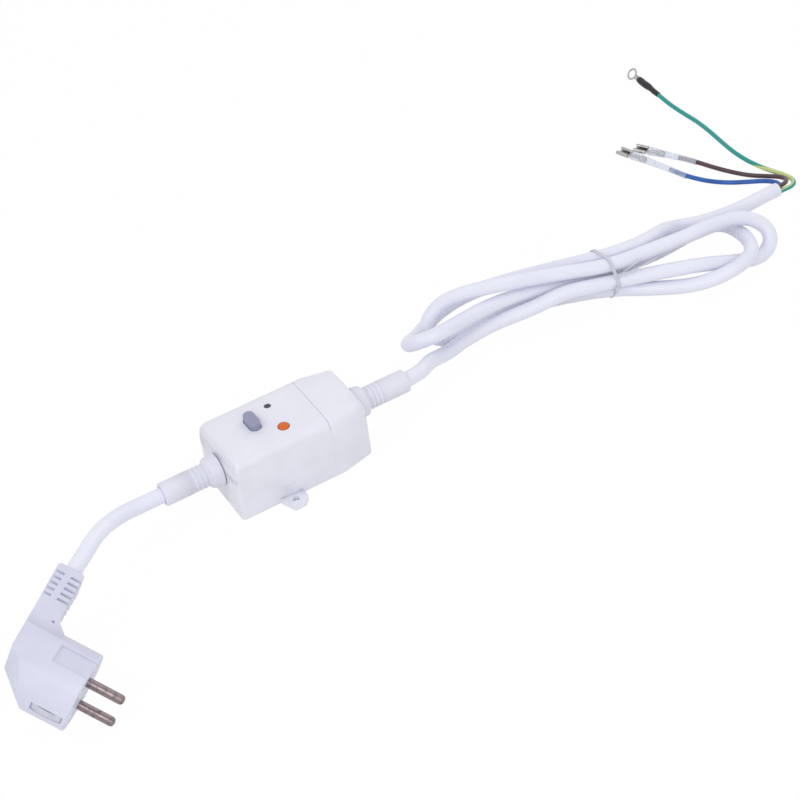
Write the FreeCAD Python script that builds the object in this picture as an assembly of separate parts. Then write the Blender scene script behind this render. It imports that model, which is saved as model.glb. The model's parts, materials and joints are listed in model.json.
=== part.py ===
import FreeCAD, Part
import math
import os
from FreeCAD import Matrix, Vector

# In-line residual current device on the power cord of a water heater.
# Origin: middle of the housing's base, on the table. +X runs from the plug side
# to the heater side, +Z is up. All sizes are millimetres.

# Housing
HOUSING_LENGTH = 80.0
HOUSING_WIDTH = 42.2
HOUSING_HEIGHT = 37.7
TAPER_LENGTH = 19.0
TAPER_START = HOUSING_LENGTH / 2 - TAPER_LENGTH
END_NARROWING = 8.8
TAPER_END_WIDTH = HOUSING_WIDTH - END_NARROWING
WALL = 2.2
FLOOR = 2.5
CROWN = 0.7
EDGE_DROP = 4.8
EDGE_RUN = 2.2
END_LEAN = 1.7
END_TOP_ROUND = 1.6
END_SPLIT = 24.8
CORNER_RADIUS = 2.4
LID_LENGTH = 24.0
LID_SEAM = HOUSING_LENGTH / 2 - LID_LENGTH
SEAM_GAP = 0.2
SIDE_SEAM_GAP = 0.03
FIT = 0.3
SLIDE_FIT = 0.25

# Mounting ears at the foot of the base
EAR_X = -11.3
EAR_REACH = 9.8
EAR_THICKNESS = 3.0
EAR_WIDTH = 13.0
EAR_TIP_WIDTH = 6.4
EAR_HOLE_RADIUS = 1.9
EAR_HOLE_OUT = 5.0
EAR_POCKET_RADIUS = 6.0
EAR_POCKET_TOP = 9.5

# Cord, glands and clamps
CORD_DIAMETER = 8.4
CORD_AXIS_HEIGHT = 21.3
GLAND_REACH = 32.6
GLAND_RADIUS = 6.4
GLAND_RING_RADIUS = 9.1
GLAND_BELL_RADIUS = 8.4
GLAND_RING_THICKNESS = 5.4
GLAND_FLARE = 2.2
GLAND_WALL_GAP = 0.5
GLAND_NECK_RADIUS = 6.9
GLAND_FLANGE_RADIUS = 8.3
GLAND_FLANGE = 1.6
GLAND_RIBS = 4
GLAND_RIB_PITCH = 2.5
GLAND_RIB_DEPTH = 0.6
GLAND_MOUTH_DEPTH = 0.8
GLAND_MOUTH_GAP = 0.35
CLAMP_INSET = 9.4
CLAMP_X = HOUSING_LENGTH / 2 - CLAMP_INSET
CLAMP_LENGTH = 5.0
CLAMP_HALF_WIDTH = 9.4
CLAMP_BAR_HEIGHT = 4.6
CLAMP_SCREW_Y = 6.9
SCREW_RADIUS = 1.4
SCREW_HEAD_RADIUS = 2.7
SCREW_HEAD = 1.7
CLAMP_SCREW_LENGTH = 11.0
SHEATH_INSET = 10.7
CORD_INNER_END = HOUSING_LENGTH / 2 - SHEATH_INSET

# Screws that hold the covers, from below
BOSS_RADIUS = 3.0
END_BOSS_INSET = 9.0
SEAM_BOSS_INSET = 4.5
LID_BOSS_INSET = 6.5
END_BOSS_Y = HOUSING_WIDTH / 2 - 6.3
SEAM_BOSS_Y = HOUSING_WIDTH / 2 - 5.7
LID_BOSS_Y = TAPER_END_WIDTH / 2 - 3.4
COVER_BOSSES = [(END_BOSS_INSET - HOUSING_LENGTH / 2, s * END_BOSS_Y) for s in (1, -1)]
COVER_BOSSES += [(LID_SEAM - SEAM_BOSS_INSET, s * SEAM_BOSS_Y) for s in (1, -1)]
LID_BOSSES = [(HOUSING_LENGTH / 2 - LID_BOSS_INSET, s * LID_BOSS_Y) for s in (1, -1)]
COVER_SCREW_LENGTH = 12.0
COUNTERBORE_DEPTH = 1.9

# Controls in the top
RESET_X = -16.3
RESET_Y = 2.4
RESET_LENGTH = 12.4
RESET_WIDTH = 6.2
RESET_PROUD = 4.0
RESET_TRAVEL = 2.5
RESET_FLANGE = 1.2
RESET_STEM_RADIUS = 1.8
TEST_X = -4.1
TEST_Y = -9.0
TEST_RADIUS = 2.9
TEST_PROUD = 0.5
TEST_TRAVEL = 1.2
LENS_X = -3.5
LENS_Y = 9.9
LENS_RADIUS = 1.9
LENS_SUNK = 0.7
HOLE_CLEARANCE = 0.35

# Circuit board and the tripping mechanism
BLOCK_X = (LID_SEAM + 1.0, LID_SEAM + 7.4)
BOARD_X = (-24.0, BLOCK_X[0] - 2.5)
BOARD_HALF_WIDTH = 11.4
BOARD_BOTTOM = 8.2
BOARD_THICKNESS = 1.6
BOARD_POST_RADIUS = 2.2
GUIDE_PLATE_DROP = 10.2
GUIDE_PLATE_HEIGHT = HOUSING_HEIGHT - GUIDE_PLATE_DROP
GUIDE_PLATE_THICKNESS = 1.4
CARRIER_DROP = 3.5
CARRIER_TOP = GUIDE_PLATE_HEIGHT - CARRIER_DROP
CARRIER_DEPTH = 3.6
CARRIER_HALF_X = 2.7
CARRIER_HALF_Y = 8.6
CONTACT_Y = 6.0
CONTACT_THICKNESS = 0.5
CONTACT_WIDTH = 3.4
RIVET_RADIUS = 1.3
RIVET_HEIGHT = 0.6
COIL_X = -2.4
COIL_Y = -4.6
COIL_LIFT = 6.1
COIL_AXIS_HEIGHT = BOARD_BOTTOM + BOARD_THICKNESS + COIL_LIFT
COIL_LENGTH = 9.0
COIL_RADIUS = 4.6
PLUNGER_RADIUS = 1.6
PLUNGER_TRAVEL = 1.2
LATCH_PIVOT_DROP = 3.0
LATCH_PIVOT_HEIGHT = CARRIER_TOP - LATCH_PIVOT_DROP
LATCH_PIVOT_X = COIL_X - COIL_LENGTH / 2 - 2.6
LATCH_PIN_RADIUS = 0.8
TOROID_X = 9.6
TOROID_RADIUS = 7.4
TOROID_BORE = 3.6
TOROID_LENGTH = 6.5
SPRING_WIRE = 0.5
SPRING_PITCH = 0.95
SPRING_ROOM = 0.1
TEST_FLANGE = 1.0
TEST_STEM_RADIUS = 1.3
LAMP_RADIUS = 1.8
LAMP_HEIGHT = 4.0
LENS_COLLAR_DROP = 2.5

# Terminals beneath the heater-side lid
BLOCK_HALF_WIDTH = 12.6
BLOCK_HEIGHT = 11.0
POLE_PITCH = 8.0
POLE_HALF = 2.6
TERMINAL_BORE = 1.5
TERMINAL_AXIS = FLOOR + 5.2
INNER_CORE_DIAMETER = 2.4
SENSED_CORE_DIAMETER = 2.0

# Angled plug: A runs along its neck, B along its pins, C from pin to pin
PLUG_FACE = Vector(-159.39, -93.78, 18.45)
PLUG_HEADING = -51.25
PLUG_DIP = 25.5
PLUG_ROLL = 3.6
PLUG_RADIUS = 19.5
PLUG_CUP_DEPTH = 20.2
PIN_RADIUS = 2.4
PIN_LENGTH = 19.0
PIN_SPACING = 19.0
PIN_ROOT = 12.0
PIN_ROOT_RADIUS = 2.1
PIN_COLLAR = 0.3
PIN_TIP = 1.8
NECK_END = 54.9
NECK_FRONT = 28.0
NECK_BACK = 42.0
NECK_AXIS = 35.0
NECK_HALF_WIDTH = 7.7
NECK_ROOT = 26.9
VENT_PLACE = (22.1, -28.8)
VENT_RADIUS = 0.9
SLOT_COUNT = 5
SLOT_PITCH = 3.65
SLOT_WIDTH = 1.5
SLOT_DEPTH = 3.4
SLOT_START = 34.4
SPINE_HALF = 1.7
EARTH_STRIP_WIDTH = 4.6
EARTH_STRIP_THICKNESS = 0.8
EARTH_RECESS_ROOM = 0.6
EARTH_CONTACT_LENGTH = 15.0
EARTH_CONTACT_START = 2.4
EARTH_CONTACT_BOW = 0.9
GUIDE_NOTCH_WIDTH = 10.4
GUIDE_NOTCH_DEPTH = 1.5
BACK_CUT_NORMAL = Vector(-0.66, -0.65, 0.38)
BACK_CUT_DISTANCE = 29.3

# Conductors that leave the sheath at the heater end
CORE_DIAMETER = 2.8
CORE_OFFSET = 1.75
SLEEVE_RADIUS = 3.0
SLEEVE_WALL = 0.4
RECEPTACLE_WIDTH = 7.4
RECEPTACLE_LENGTH = 8.2
RECEPTACLE_HEIGHT = 2.3
STRIP_THICKNESS = 0.4
SHRINK_RADIUS = 2.4
SHRINK_BORE = 1.65
SHRINK_LENGTH = 23.0
SHRINK_OVERLAP = 3.5
RING_RADIUS = 4.2
RING_HOLE_RADIUS = 2.65
RING_THICKNESS = 0.8
RING_ROLL = 50.0
TIE_WIDTH = 2.4
TIE_THICKNESS = 0.8
TIE_ROOM = 0.15
TIE_KNOT_RADIUS = 1.2
TIE_TAILS = [
    [(6.0, -0.9, 0.8), (13.0, -2.6, 1.3), (20.0, -4.3, 2.1)],
    [(6.5, -1.7, 0.7), (14.0, -4.3, 1.2), (24.0, -6.7, 2.5)],
]

# Hank of the heater-side cord. Five strands pass the tie, packed a pitch apart.
WAIST_X = 214.0
WAIST_Y = 8.0
WAIST_PITCH = 9.4
POINTS_PER_LOOP = 12
CORD_RADIUS = CORD_DIAMETER / 2
ROW_RISE = WAIST_PITCH * math.sqrt(3) / 2
LOW_ROW = CORD_RADIUS + TIE_THICKNESS + 3 * TIE_ROOM
WAIST = {
    "first": (WAIST_Y, LOW_ROW + ROW_RISE),
    "second": (WAIST_Y + WAIST_PITCH / 2, LOW_ROW + 2 * ROW_RISE),
    "lowest": (WAIST_Y + WAIST_PITCH / 2, LOW_ROW),
    "third": (WAIST_Y + WAIST_PITCH, LOW_ROW + ROW_RISE),
    "last": (WAIST_Y + 1.5 * WAIST_PITCH, LOW_ROW + 2 * ROW_RISE),
}
# Each loop: strand it leaves by, strand it returns by, side, reach from the tie,
# and its sideways places and heights at six even steps round the loop.
LOOPS = [
    ("first", "second", 1, 96.6, (-9.9, -17.3, -9.8, 2.0, 6.3), (13.6, 5.3, 13.8, 23.5, 23.0)),
    ("second", "lowest", -1, 107.8, (29.0, 35.0, 33.5, 29.7, 32.2), (26.6, 30.0, 17.1, 4.4, 5.5)),
    ("lowest", "third", 1, 84.1, (-15.2, -24.2, 5.9, 18.0, 21.6), (5.0, 17.7, 12.2, 12.5, 6.3)),
    ("third", "last", -1, 123.3, (29.0, 16.3, 26.9, 45.9, 60.4), (17.4, 26.3, 18.2, 4.4, 4.4)),
]

# Hand-laid stretches of cord: from the gland to the tie, and from the tie to the cut end
GLAND_TIP = HOUSING_LENGTH / 2 + GLAND_REACH
CORD_START = GLAND_TIP - GLAND_MOUTH_DEPTH
LEAD_POINTS = [
    (CORD_START, 0.0, CORD_AXIS_HEIGHT),
    (82.0, 0.0, CORD_AXIS_HEIGHT),
    (94.0, 10.8, 16.2),
    (108.0, 18.1, 8.5),
    (124.0, 21.7, 9.2),
    (145.0, 24.0, 8.7),
    (166.0, 17.9, 11.9),
    (184.0, 14.2, 16.7),
    (198.0, 10.7, 15.8),
]
TAIL_POINTS = [
    (229.0, 20.6, 20.8),
    (244.0, 18.7, 21.4),
    (260.0, 24.3, 18.4),
    (277.0, 35.0, 6.3),
    (294.0, 30.4, 4.5),
    (311.0, 28.0, 4.6),
    (326.0, 27.4, 4.6),
    (338.0, 28.6, 4.6),
    (347.5, 28.6, 4.6),
]
SHEATH_END = TAIL_POINTS[-1]
LOW_CORE_Z = SHEATH_END[2] - CORE_OFFSET / 2
SIDE_CORE_Y = CORE_OFFSET * math.sqrt(3) / 2
EARTH_WIRE_POINTS = [
    (SHEATH_END[0], SHEATH_END[1] - SIDE_CORE_Y, LOW_CORE_Z),
    (352.0, SHEATH_END[1] - SIDE_CORE_Y, LOW_CORE_Z),
    (357.5, 27.4, 3.3),
    (362.0, 30.0, 2.5),
    (364.0, 35.5, 1.8),
    (362.5, 43.0, 1.5),
    (358.5, 52.0, 1.5),
    (355.5, 64.0, 1.5),
    (354.5, 77.5, 1.5),
    (355.5, 91.0, 1.5),
    (357.0, 105.0, 1.5),
    (357.6, 118.0, 1.5),
    (356.6, 131.0, 1.5),
    (355.3, 144.0, 2.3),
    (355.0, 155.0, 3.8),
    (355.2, 159.0, 3.8),
]
LIVE_WIRE_POINTS = [
    (SHEATH_END[0], SHEATH_END[1], SHEATH_END[2] + CORE_OFFSET),
    (351.5, SHEATH_END[1], SHEATH_END[2] + CORE_OFFSET),
    (356.0, 30.4, 5.6),
    (358.8, 34.5, 4.4),
    (358.0, 40.0, 3.0),
    (353.5, 46.0, 2.0),
    (347.0, 53.0, 1.5),
    (341.0, 62.0, 1.5),
    (335.5, 72.5, 1.6),
    (330.5, 82.0, 2.4),
    (326.5, 89.0, 3.1),
    (323.8, 93.3, 3.1),
]
NEUTRAL_WIRE_POINTS = [
    (SHEATH_END[0], SHEATH_END[1] + SIDE_CORE_Y, LOW_CORE_Z),
    (350.5, SHEATH_END[1] + SIDE_CORE_Y, LOW_CORE_Z),
    (353.6, 33.0, 3.2),
    (353.2, 38.0, 2.6),
    (349.0, 43.5, 2.0),
    (341.5, 49.0, 1.5),
    (332.0, 55.5, 1.5),
    (323.5, 64.0, 1.8),
    (317.0, 73.5, 2.6),
    (313.8, 80.5, 3.1),
    (312.2, 86.5, 3.1),
]
LIVE_RECEPTACLE = (311.4, 115.0)
NEUTRAL_RECEPTACLE = (301.6, 118.6)
PLUG_CORD_POINTS = [
    (-112.0, -11.4, 28.8),
    (-96.0, -2.0, 23.5),
    (-83.0, 0.0, CORD_AXIS_HEIGHT),
]


def box(low, high):
    """Box between two corners."""
    size = [high[i] - low[i] for i in range(3)]
    return Part.makeBox(size[0], size[1], size[2], Vector(*low))


def rod(start, end, radius):
    """Round bar between two points."""
    first = Vector(*start)
    span = Vector(*end) - first
    return Part.makeCylinder(radius, span.Length, first, span)


def polygon_face(points):
    """Flat face inside straight edges through the given points."""
    corners = [Vector(*p) for p in points]
    return Part.Face(Part.makePolygon(corners + [corners[0]]))


def fuse(shapes):
    """One solid from shapes that overlap or touch."""
    whole = shapes[0].multiFuse(shapes[1:])
    return whole.removeSplitter()


def turned(profile, axis_point, axis):
    """Solid turned from a closed flat profile."""
    return polygon_face(profile).revolve(Vector(*axis_point), Vector(*axis), 360)


def save(name, shape):
    """Write one node and report its solids and volume."""
    shape.exportStep("parts/" + name + ".step")
    print(name, "solids", len(shape.Solids), "volume", round(shape.Volume, 1), "valid", shape.isValid())


def route_path(points):
    """Straight runs joined by tangent arcs, as large as both runs allow."""
    vectors = [Vector(*p) for p in points]
    edges = []
    radii = []
    last = vectors[0]
    for i in range(1, len(vectors) - 1):
        back = vectors[i - 1] - vectors[i]
        ahead = vectors[i + 1] - vectors[i]
        cut = 0.45 * min(back.Length, ahead.Length)
        turn = math.pi - back.getAngle(ahead)
        radii.append(cut / math.tan(turn / 2))
        back.normalize()
        ahead.normalize()
        start = vectors[i] + back * cut
        end = vectors[i] + ahead * cut
        inward = back + ahead
        inward.normalize()
        sagitta = radii[-1] / math.cos(turn / 2) - radii[-1]
        edges.append(Part.LineSegment(last, start).toShape())
        edges.append(Part.Arc(start, vectors[i] + inward * sagitta, end).toShape())
        last = end
    edges.append(Part.LineSegment(last, vectors[-1]).toShape())
    return Part.Wire(edges), radii


def tube(name, points, diameter):
    """Round cord along a route, with its least radius and volume reported."""
    path, radii = route_path(points)
    first = Vector(*points[0])
    ahead = Vector(*points[1]) - first
    ring = Part.Wire([Part.Circle(first, ahead, diameter / 2).toShape()])
    solid = path.makePipeShell([ring], True, False)
    expected = math.pi * diameter ** 2 / 4 * path.Length
    print(name, "length", round(path.Length, 1), "radii from", round(min(radii), 1),
          "volume ratio", round(solid.Volume / expected, 4))
    return solid, path


def between(stations, t):
    """Smooth value at t from 0 to 1 through evenly spaced stations."""
    count = len(stations) - 1
    place = min(t * count, count - 1e-9)
    i = int(place)
    f = place - i
    ends = [2 * stations[0] - stations[1]] + list(stations) + [2 * stations[-1] - stations[-2]]
    a, b, c, d = ends[i:i + 4]
    bend = (2 * a - 5 * b + 4 * c - d) * f ** 2 + (3 * b - a - 3 * c + d) * f ** 3
    return 0.5 * (2 * b + (c - a) * f + bend)


def loop_points(leave, arrive, side, reach, ways, heights):
    """Points round one loop, from the tie out to the fold and back to the tie."""
    y_stations = [WAIST[leave][0]] + list(ways) + [WAIST[arrive][0]]
    z_stations = [WAIST[leave][1]] + list(heights) + [WAIST[arrive][1]]
    points = []
    for k in range(1, POINTS_PER_LOOP):
        t = k / POINTS_PER_LOOP
        x = WAIST_X + side * reach * math.sin(math.pi * t)
        z = max(between(z_stations, t), CORD_RADIUS + 0.1)
        points.append((x, between(y_stations, t), z))
    points.append((WAIST_X,) + WAIST[arrive])
    return points


def halfway(first, second):
    """Point in the middle of a straight run."""
    return tuple((a + b) / 2 for a, b in zip(first, second))


def least_gap(path, diameter):
    """Least clear distance between stretches of one cord that lie apart."""
    points = path.discretize(Distance=2.0)
    near = int(2.6 * diameter / 2.0)
    least = min(
        points[i].distanceToPoint(points[j])
        for i in range(len(points))
        for j in range(i + near, len(points))
    )
    return least - diameter


def housing_section(x, half_width, inset, floor):
    """Cross-section of the housing at one place along it, drawn in by an inset."""
    side = half_width - inset
    top = HOUSING_HEIGHT - inset
    shoulder = (x, side, top - EDGE_DROP + inset)
    rim = (x, side - EDGE_RUN, top - CROWN)
    bulge = (x, side - EDGE_RUN * 0.27, top - CROWN - EDGE_DROP * 0.36)
    edges = []
    mirrored = [(p[0], -p[1], p[2]) for p in (shoulder, bulge, rim)]
    edges.append(Part.LineSegment(Vector(x, side, floor), Vector(*shoulder)).toShape())
    edges.append(Part.Arc(Vector(*shoulder), Vector(*bulge), Vector(*rim)).toShape())
    edges.append(Part.Arc(Vector(*rim), Vector(x, 0, top), Vector(*mirrored[2])).toShape())
    edges.append(Part.Arc(Vector(*mirrored[2]), Vector(*mirrored[1]), Vector(*mirrored[0])).toShape())
    edges.append(Part.LineSegment(Vector(*mirrored[0]), Vector(x, -side, floor)).toShape())
    edges.append(Part.LineSegment(Vector(x, -side, floor), Vector(x, side, floor)).toShape())
    return Part.Wire(edges)


def housing_form(inset, floor):
    """Closed form of the housing: straight body, tapered heater end, leaning end faces."""
    half = HOUSING_LENGTH / 2 - inset
    wide = HOUSING_WIDTH / 2
    narrow = TAPER_END_WIDTH / 2 + inset * 0.05
    sections = [
        housing_section(-half, wide, inset, floor),
        housing_section(TAPER_START, wide, inset, floor),
        housing_section(half, narrow, inset, floor),
    ]
    body = Part.makeLoft(sections, True, True)
    lean_top = half - END_LEAN
    tall = HOUSING_HEIGHT - inset
    right = [
        Vector(half, 0, floor),
        Vector(half, 0, END_SPLIT),
        Vector(lean_top + 0.4, 0, tall - END_TOP_ROUND),
        Vector(lean_top - 0.2, 0, tall - 0.4),
        Vector(lean_top - END_TOP_ROUND, 0, tall + 0.1),
    ]
    left = [Vector(-v.x, 0, v.z) for v in right]
    edges = [
        Part.LineSegment(left[0], right[0]).toShape(),
        Part.LineSegment(right[0], right[1]).toShape(),
        Part.LineSegment(right[1], right[2]).toShape(),
        Part.Arc(right[2], right[3], right[4]).toShape(),
        Part.LineSegment(right[4], left[4]).toShape(),
        Part.Arc(left[4], left[3], left[2]).toShape(),
        Part.LineSegment(left[2], left[1]).toShape(),
        Part.LineSegment(left[1], left[0]).toShape(),
    ]
    side_face = Part.Face(Part.Wire(edges))
    side_face.translate(Vector(0, -HOUSING_WIDTH, 0))
    leaning = side_face.extrude(Vector(0, 2 * HOUSING_WIDTH, 0))
    return body.common(leaning).common(plan_form(inset, half, wide - inset, narrow - inset))


def plan_form(inset, half, wide, narrow):
    """Upright block whose outline in plan has rounded corners at both ends."""
    r = max(CORNER_RADIUS - inset, 0.4)
    bend = r * (1 - math.sqrt(0.5))
    height = 2 * HOUSING_HEIGHT
    slope = (wide - narrow) / (half - TAPER_START)
    near_end = Vector(half - r, -narrow - slope * r, 0)
    far_end = Vector(half - r, narrow + slope * r, 0)
    edges = [
        Part.LineSegment(Vector(-half + r, -wide, 0), Vector(TAPER_START, -wide, 0)).toShape(),
        Part.LineSegment(Vector(TAPER_START, -wide, 0), near_end).toShape(),
        Part.Arc(near_end, Vector(half - bend, -narrow + bend - slope * r * 0.3, 0),
                 Vector(half, -narrow + r, 0)).toShape(),
        Part.LineSegment(Vector(half, -narrow + r, 0), Vector(half, narrow - r, 0)).toShape(),
        Part.Arc(Vector(half, narrow - r, 0), Vector(half - bend, narrow - bend + slope * r * 0.3, 0),
                 far_end).toShape(),
        Part.LineSegment(far_end, Vector(TAPER_START, wide, 0)).toShape(),
        Part.LineSegment(Vector(TAPER_START, wide, 0), Vector(-half + r, wide, 0)).toShape(),
        Part.Arc(Vector(-half + r, wide, 0), Vector(-half + bend, wide - bend, 0),
                 Vector(-half, wide - r, 0)).toShape(),
        Part.LineSegment(Vector(-half, wide - r, 0), Vector(-half, -wide + r, 0)).toShape(),
        Part.Arc(Vector(-half, -wide + r, 0), Vector(-half + bend, -wide + bend, 0),
                 Vector(-half + r, -wide, 0)).toShape(),
    ]
    return Part.Face(Part.Wire(edges)).extrude(Vector(0, 0, height))


def stadium(x, y, width, length, low, high):
    """Upright bar with round ends, long in Y."""
    r = width / 2
    flat = length / 2 - r
    middle = box((x - r, y - flat, low), (x + r, y + flat, high))
    ends = [rod((x, y + s * flat, low), (x, y + s * flat, high), r) for s in (-1, 1)]
    return fuse([middle] + ends)


def ear(side):
    """Mounting ear with its hole, on one long side of the base."""
    root = HOUSING_WIDTH / 2
    reach = HOUSING_WIDTH / 2 + EAR_REACH
    shoulder = reach - EAR_REACH * 0.38
    outline = [
        (EAR_X - EAR_WIDTH / 2, side * root, 0),
        (EAR_X - EAR_WIDTH / 2, side * (root + 1.6), 0),
        (EAR_X - EAR_TIP_WIDTH / 2, side * reach, 0),
        (EAR_X + EAR_TIP_WIDTH / 2, side * reach, 0),
        (EAR_X + EAR_WIDTH / 2, side * shoulder, 0),
        (EAR_X + EAR_WIDTH / 2, side * root, 0),
    ]
    plate = polygon_face(outline).extrude(Vector(0, 0, EAR_THICKNESS))
    y = side * (HOUSING_WIDTH / 2 + EAR_HOLE_OUT)
    return plate.cut(rod((EAR_X, y, -1), (EAR_X, y, EAR_THICKNESS + 1), EAR_HOLE_RADIUS))


def ear_pockets():
    """Round hollows above the ears that let a screwdriver past the wall."""
    y = HOUSING_WIDTH / 2 + EAR_HOLE_OUT
    hollows = [
        rod((EAR_X, s * y, EAR_THICKNESS), (EAR_X, s * y, EAR_POCKET_TOP), EAR_POCKET_RADIUS)
        for s in (-1, 1)
    ]
    return hollows


def gland(side):
    """Moulded strain relief: flared ring, ribs, smooth sleeve, neck and inner flange."""
    face = HOUSING_LENGTH / 2
    ring_foot = face + GLAND_WALL_GAP
    ring_top = ring_foot + GLAND_RING_THICKNESS
    flare_end = ring_top + GLAND_FLARE
    inner_face = face - WALL - 0.1
    flange_end = inner_face - GLAND_FLANGE
    tip = face + GLAND_REACH
    profile = [
        (flange_end, 0),
        (flange_end, GLAND_FLANGE_RADIUS),
        (inner_face, GLAND_FLANGE_RADIUS),
        (inner_face, GLAND_NECK_RADIUS),
        (ring_foot, GLAND_NECK_RADIUS),
        (ring_foot, GLAND_RING_RADIUS),
        (ring_foot + GLAND_RING_THICKNESS * 0.3, GLAND_RING_RADIUS),
        (ring_foot + GLAND_RING_THICKNESS * 0.55, GLAND_BELL_RADIUS + 0.3),
        (ring_top, GLAND_BELL_RADIUS),
    ]
    drop = GLAND_BELL_RADIUS - GLAND_RADIUS
    for k in range(1, 5):
        turn = math.pi * k / 4
        profile.append((ring_top + GLAND_FLARE * k / 4, GLAND_RADIUS + drop * (1 + math.cos(turn)) / 2))
    for k in range(GLAND_RIBS):
        start = flare_end + k * GLAND_RIB_PITCH
        profile.append((start + 0.3, GLAND_RADIUS - GLAND_RIB_DEPTH))
        profile.append((start + 0.9, GLAND_RADIUS - GLAND_RIB_DEPTH))
        profile.append((start + 1.2, GLAND_RADIUS))
        profile.append((start + GLAND_RIB_PITCH - 0.02, GLAND_RADIUS))
    profile.append((tip - 0.6, GLAND_RADIUS))
    profile.append((tip, GLAND_RADIUS - 0.6))
    profile.append((tip, CORD_RADIUS + GLAND_MOUTH_GAP))
    profile.append((tip - GLAND_MOUTH_DEPTH, CORD_RADIUS + GLAND_MOUTH_GAP))
    profile.append((tip - GLAND_MOUTH_DEPTH, 0))
    outline = [(side * s, 0, CORD_AXIS_HEIGHT + r) for s, r in profile]
    return turned(outline, (0, 0, CORD_AXIS_HEIGHT), (1, 0, 0))


def bore_x(x_low, x_high, radius):
    """Round cutter along the cord's axis."""
    return rod((x_low, 0, CORD_AXIS_HEIGHT), (x_high, 0, CORD_AXIS_HEIGHT), radius)


def screw(x, y, head_low, length, up):
    """Pan-head screw along Z. The shank runs up or down from its head."""
    tip = head_low + SCREW_HEAD + length if up else head_low - length
    start = head_low + SCREW_HEAD - 0.1 if up else head_low + 0.1
    head = rod((x, y, head_low), (x, y, head_low + SCREW_HEAD), SCREW_HEAD_RADIUS)
    face = head_low if up else head_low + SCREW_HEAD
    slot_low = face - 0.7
    slot_high = face + 0.7
    slot = box((x - 0.35, y - SCREW_HEAD_RADIUS, slot_low), (x + 0.35, y + SCREW_HEAD_RADIUS, slot_high))
    shank = rod((x, y, start), (x, y, tip), SCREW_RADIUS)
    return fuse([head.cut(slot), shank])


def clamp_screw_head():
    """Height at which a clamp screw's head rests."""
    return CORD_AXIS_HEIGHT + FIT + CLAMP_BAR_HEIGHT


def clamp_span(side):
    """Low and high X of the clamp on one side."""
    return sorted((side * (CLAMP_X - CLAMP_LENGTH / 2), side * (CLAMP_X + CLAMP_LENGTH / 2)))


def make_base():
    """Base tray: floor, end walls with gland seats, ears, saddles and posts."""
    whole = housing_form(0, 0)
    hollow = housing_form(WALL, FLOOR)
    half = HOUSING_LENGTH / 2
    floor = whole.common(box((-half, -HOUSING_WIDTH, 0), (half, HOUSING_WIDTH, FLOOR)))
    shell = whole.cut(hollow)
    ends = [
        shell.common(box((low, -HOUSING_WIDTH, 0), (low + WALL, HOUSING_WIDTH, END_SPLIT)))
        for low in (-half, half - WALL)
    ]
    pieces = [floor] + ends + [ear(-1), ear(1)]
    for side in (-1, 1):
        low, high = clamp_span(side)
        pieces.append(box((low, -CLAMP_HALF_WIDTH, FLOOR - 0.5),
                          (high, CLAMP_HALF_WIDTH, CORD_AXIS_HEIGHT)))
    for x in (BOARD_X[0] + 4.0, BOARD_X[1] - 4.0):
        for s in (-1, 1):
            y = s * (BOARD_HALF_WIDTH - 2.6)
            pieces.append(rod((x, y, FLOOR - 0.5), (x, y, BOARD_BOTTOM), BOARD_POST_RADIUS))
    base = fuse(pieces)
    seat = GLAND_NECK_RADIUS + 0.1
    cutters = ear_pockets()
    cutters.append(bore_x(-half - 1, -half + WALL + 0.5, seat))
    cutters.append(bore_x(half - WALL - 0.5, half + 1, seat))
    for low in (-half - 1, half - WALL - 1):
        cutters.append(box((low, -seat, CORD_AXIS_HEIGHT), (low + WALL + 2, seat, END_SPLIT + 1)))
    for side in (-1, 1):
        low, high = clamp_span(side)
        cutters.append(bore_x(low - 1, high + 1, CORD_RADIUS + 0.1))
        for s in (-1, 1):
            hole = (side * CLAMP_X, s * CLAMP_SCREW_Y)
            cutters.append(rod(hole + (CORD_AXIS_HEIGHT - 8,), hole + (CORD_AXIS_HEIGHT + 1,),
                               SCREW_RADIUS + 0.05))
    for x, y in COVER_BOSSES + LID_BOSSES:
        cutters.append(rod((x, y, -1), (x, y, FLOOR + 1), SCREW_RADIUS + 0.2))
        cutters.append(rod((x, y, -1), (x, y, COUNTERBORE_DEPTH), SCREW_HEAD_RADIUS + 0.3))
    return base.cut(fuse(cutters))


def cover_shell(low_x, high_x, bosses):
    """Upper shell between two places along the housing, with its screw bosses."""
    whole = housing_form(0, 0)
    hollow = housing_form(WALL, FLOOR - 1)
    half = HOUSING_LENGTH / 2
    shell = whole.cut(hollow)
    span = box((low_x, -HOUSING_WIDTH, FLOOR), (high_x, HOUSING_WIDTH, HOUSING_HEIGHT + 1))
    cover = shell.common(span)
    ends = [
        box((low, -HOUSING_WIDTH, 0), (low + WALL, HOUSING_WIDTH, END_SPLIT))
        for low in (-half, half - WALL)
    ]
    cover = cover.cut(fuse(ends))
    top = HOUSING_HEIGHT - WALL
    posts = [rod((x, y, FLOOR), (x, y, top), BOSS_RADIUS) for x, y in bosses]
    cover = fuse([cover] + posts)
    holes = [rod((x, y, FLOOR - 1), (x, y, FLOOR + 11), SCREW_RADIUS + 0.05) for x, y in bosses]
    neck = bore_x(-half - 1, half + 1, GLAND_NECK_RADIUS + 0.1)
    inner_face = half - WALL
    flange_room = [
        bore_x(s * inner_face, s * (inner_face - GLAND_FLANGE - 2 * FIT), GLAND_FLANGE_RADIUS + FIT)
        for s in (-1, 1)
    ]
    groove_low = HOUSING_HEIGHT - CROWN - EDGE_DROP
    groove = box((LID_SEAM, -HOUSING_WIDTH, groove_low),
                 (LID_SEAM + SEAM_GAP, HOUSING_WIDTH, HOUSING_HEIGHT + 1))
    cutters = holes + [neck, groove] + flange_room + ear_pockets()
    return cover.cut(fuse(cutters))


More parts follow.
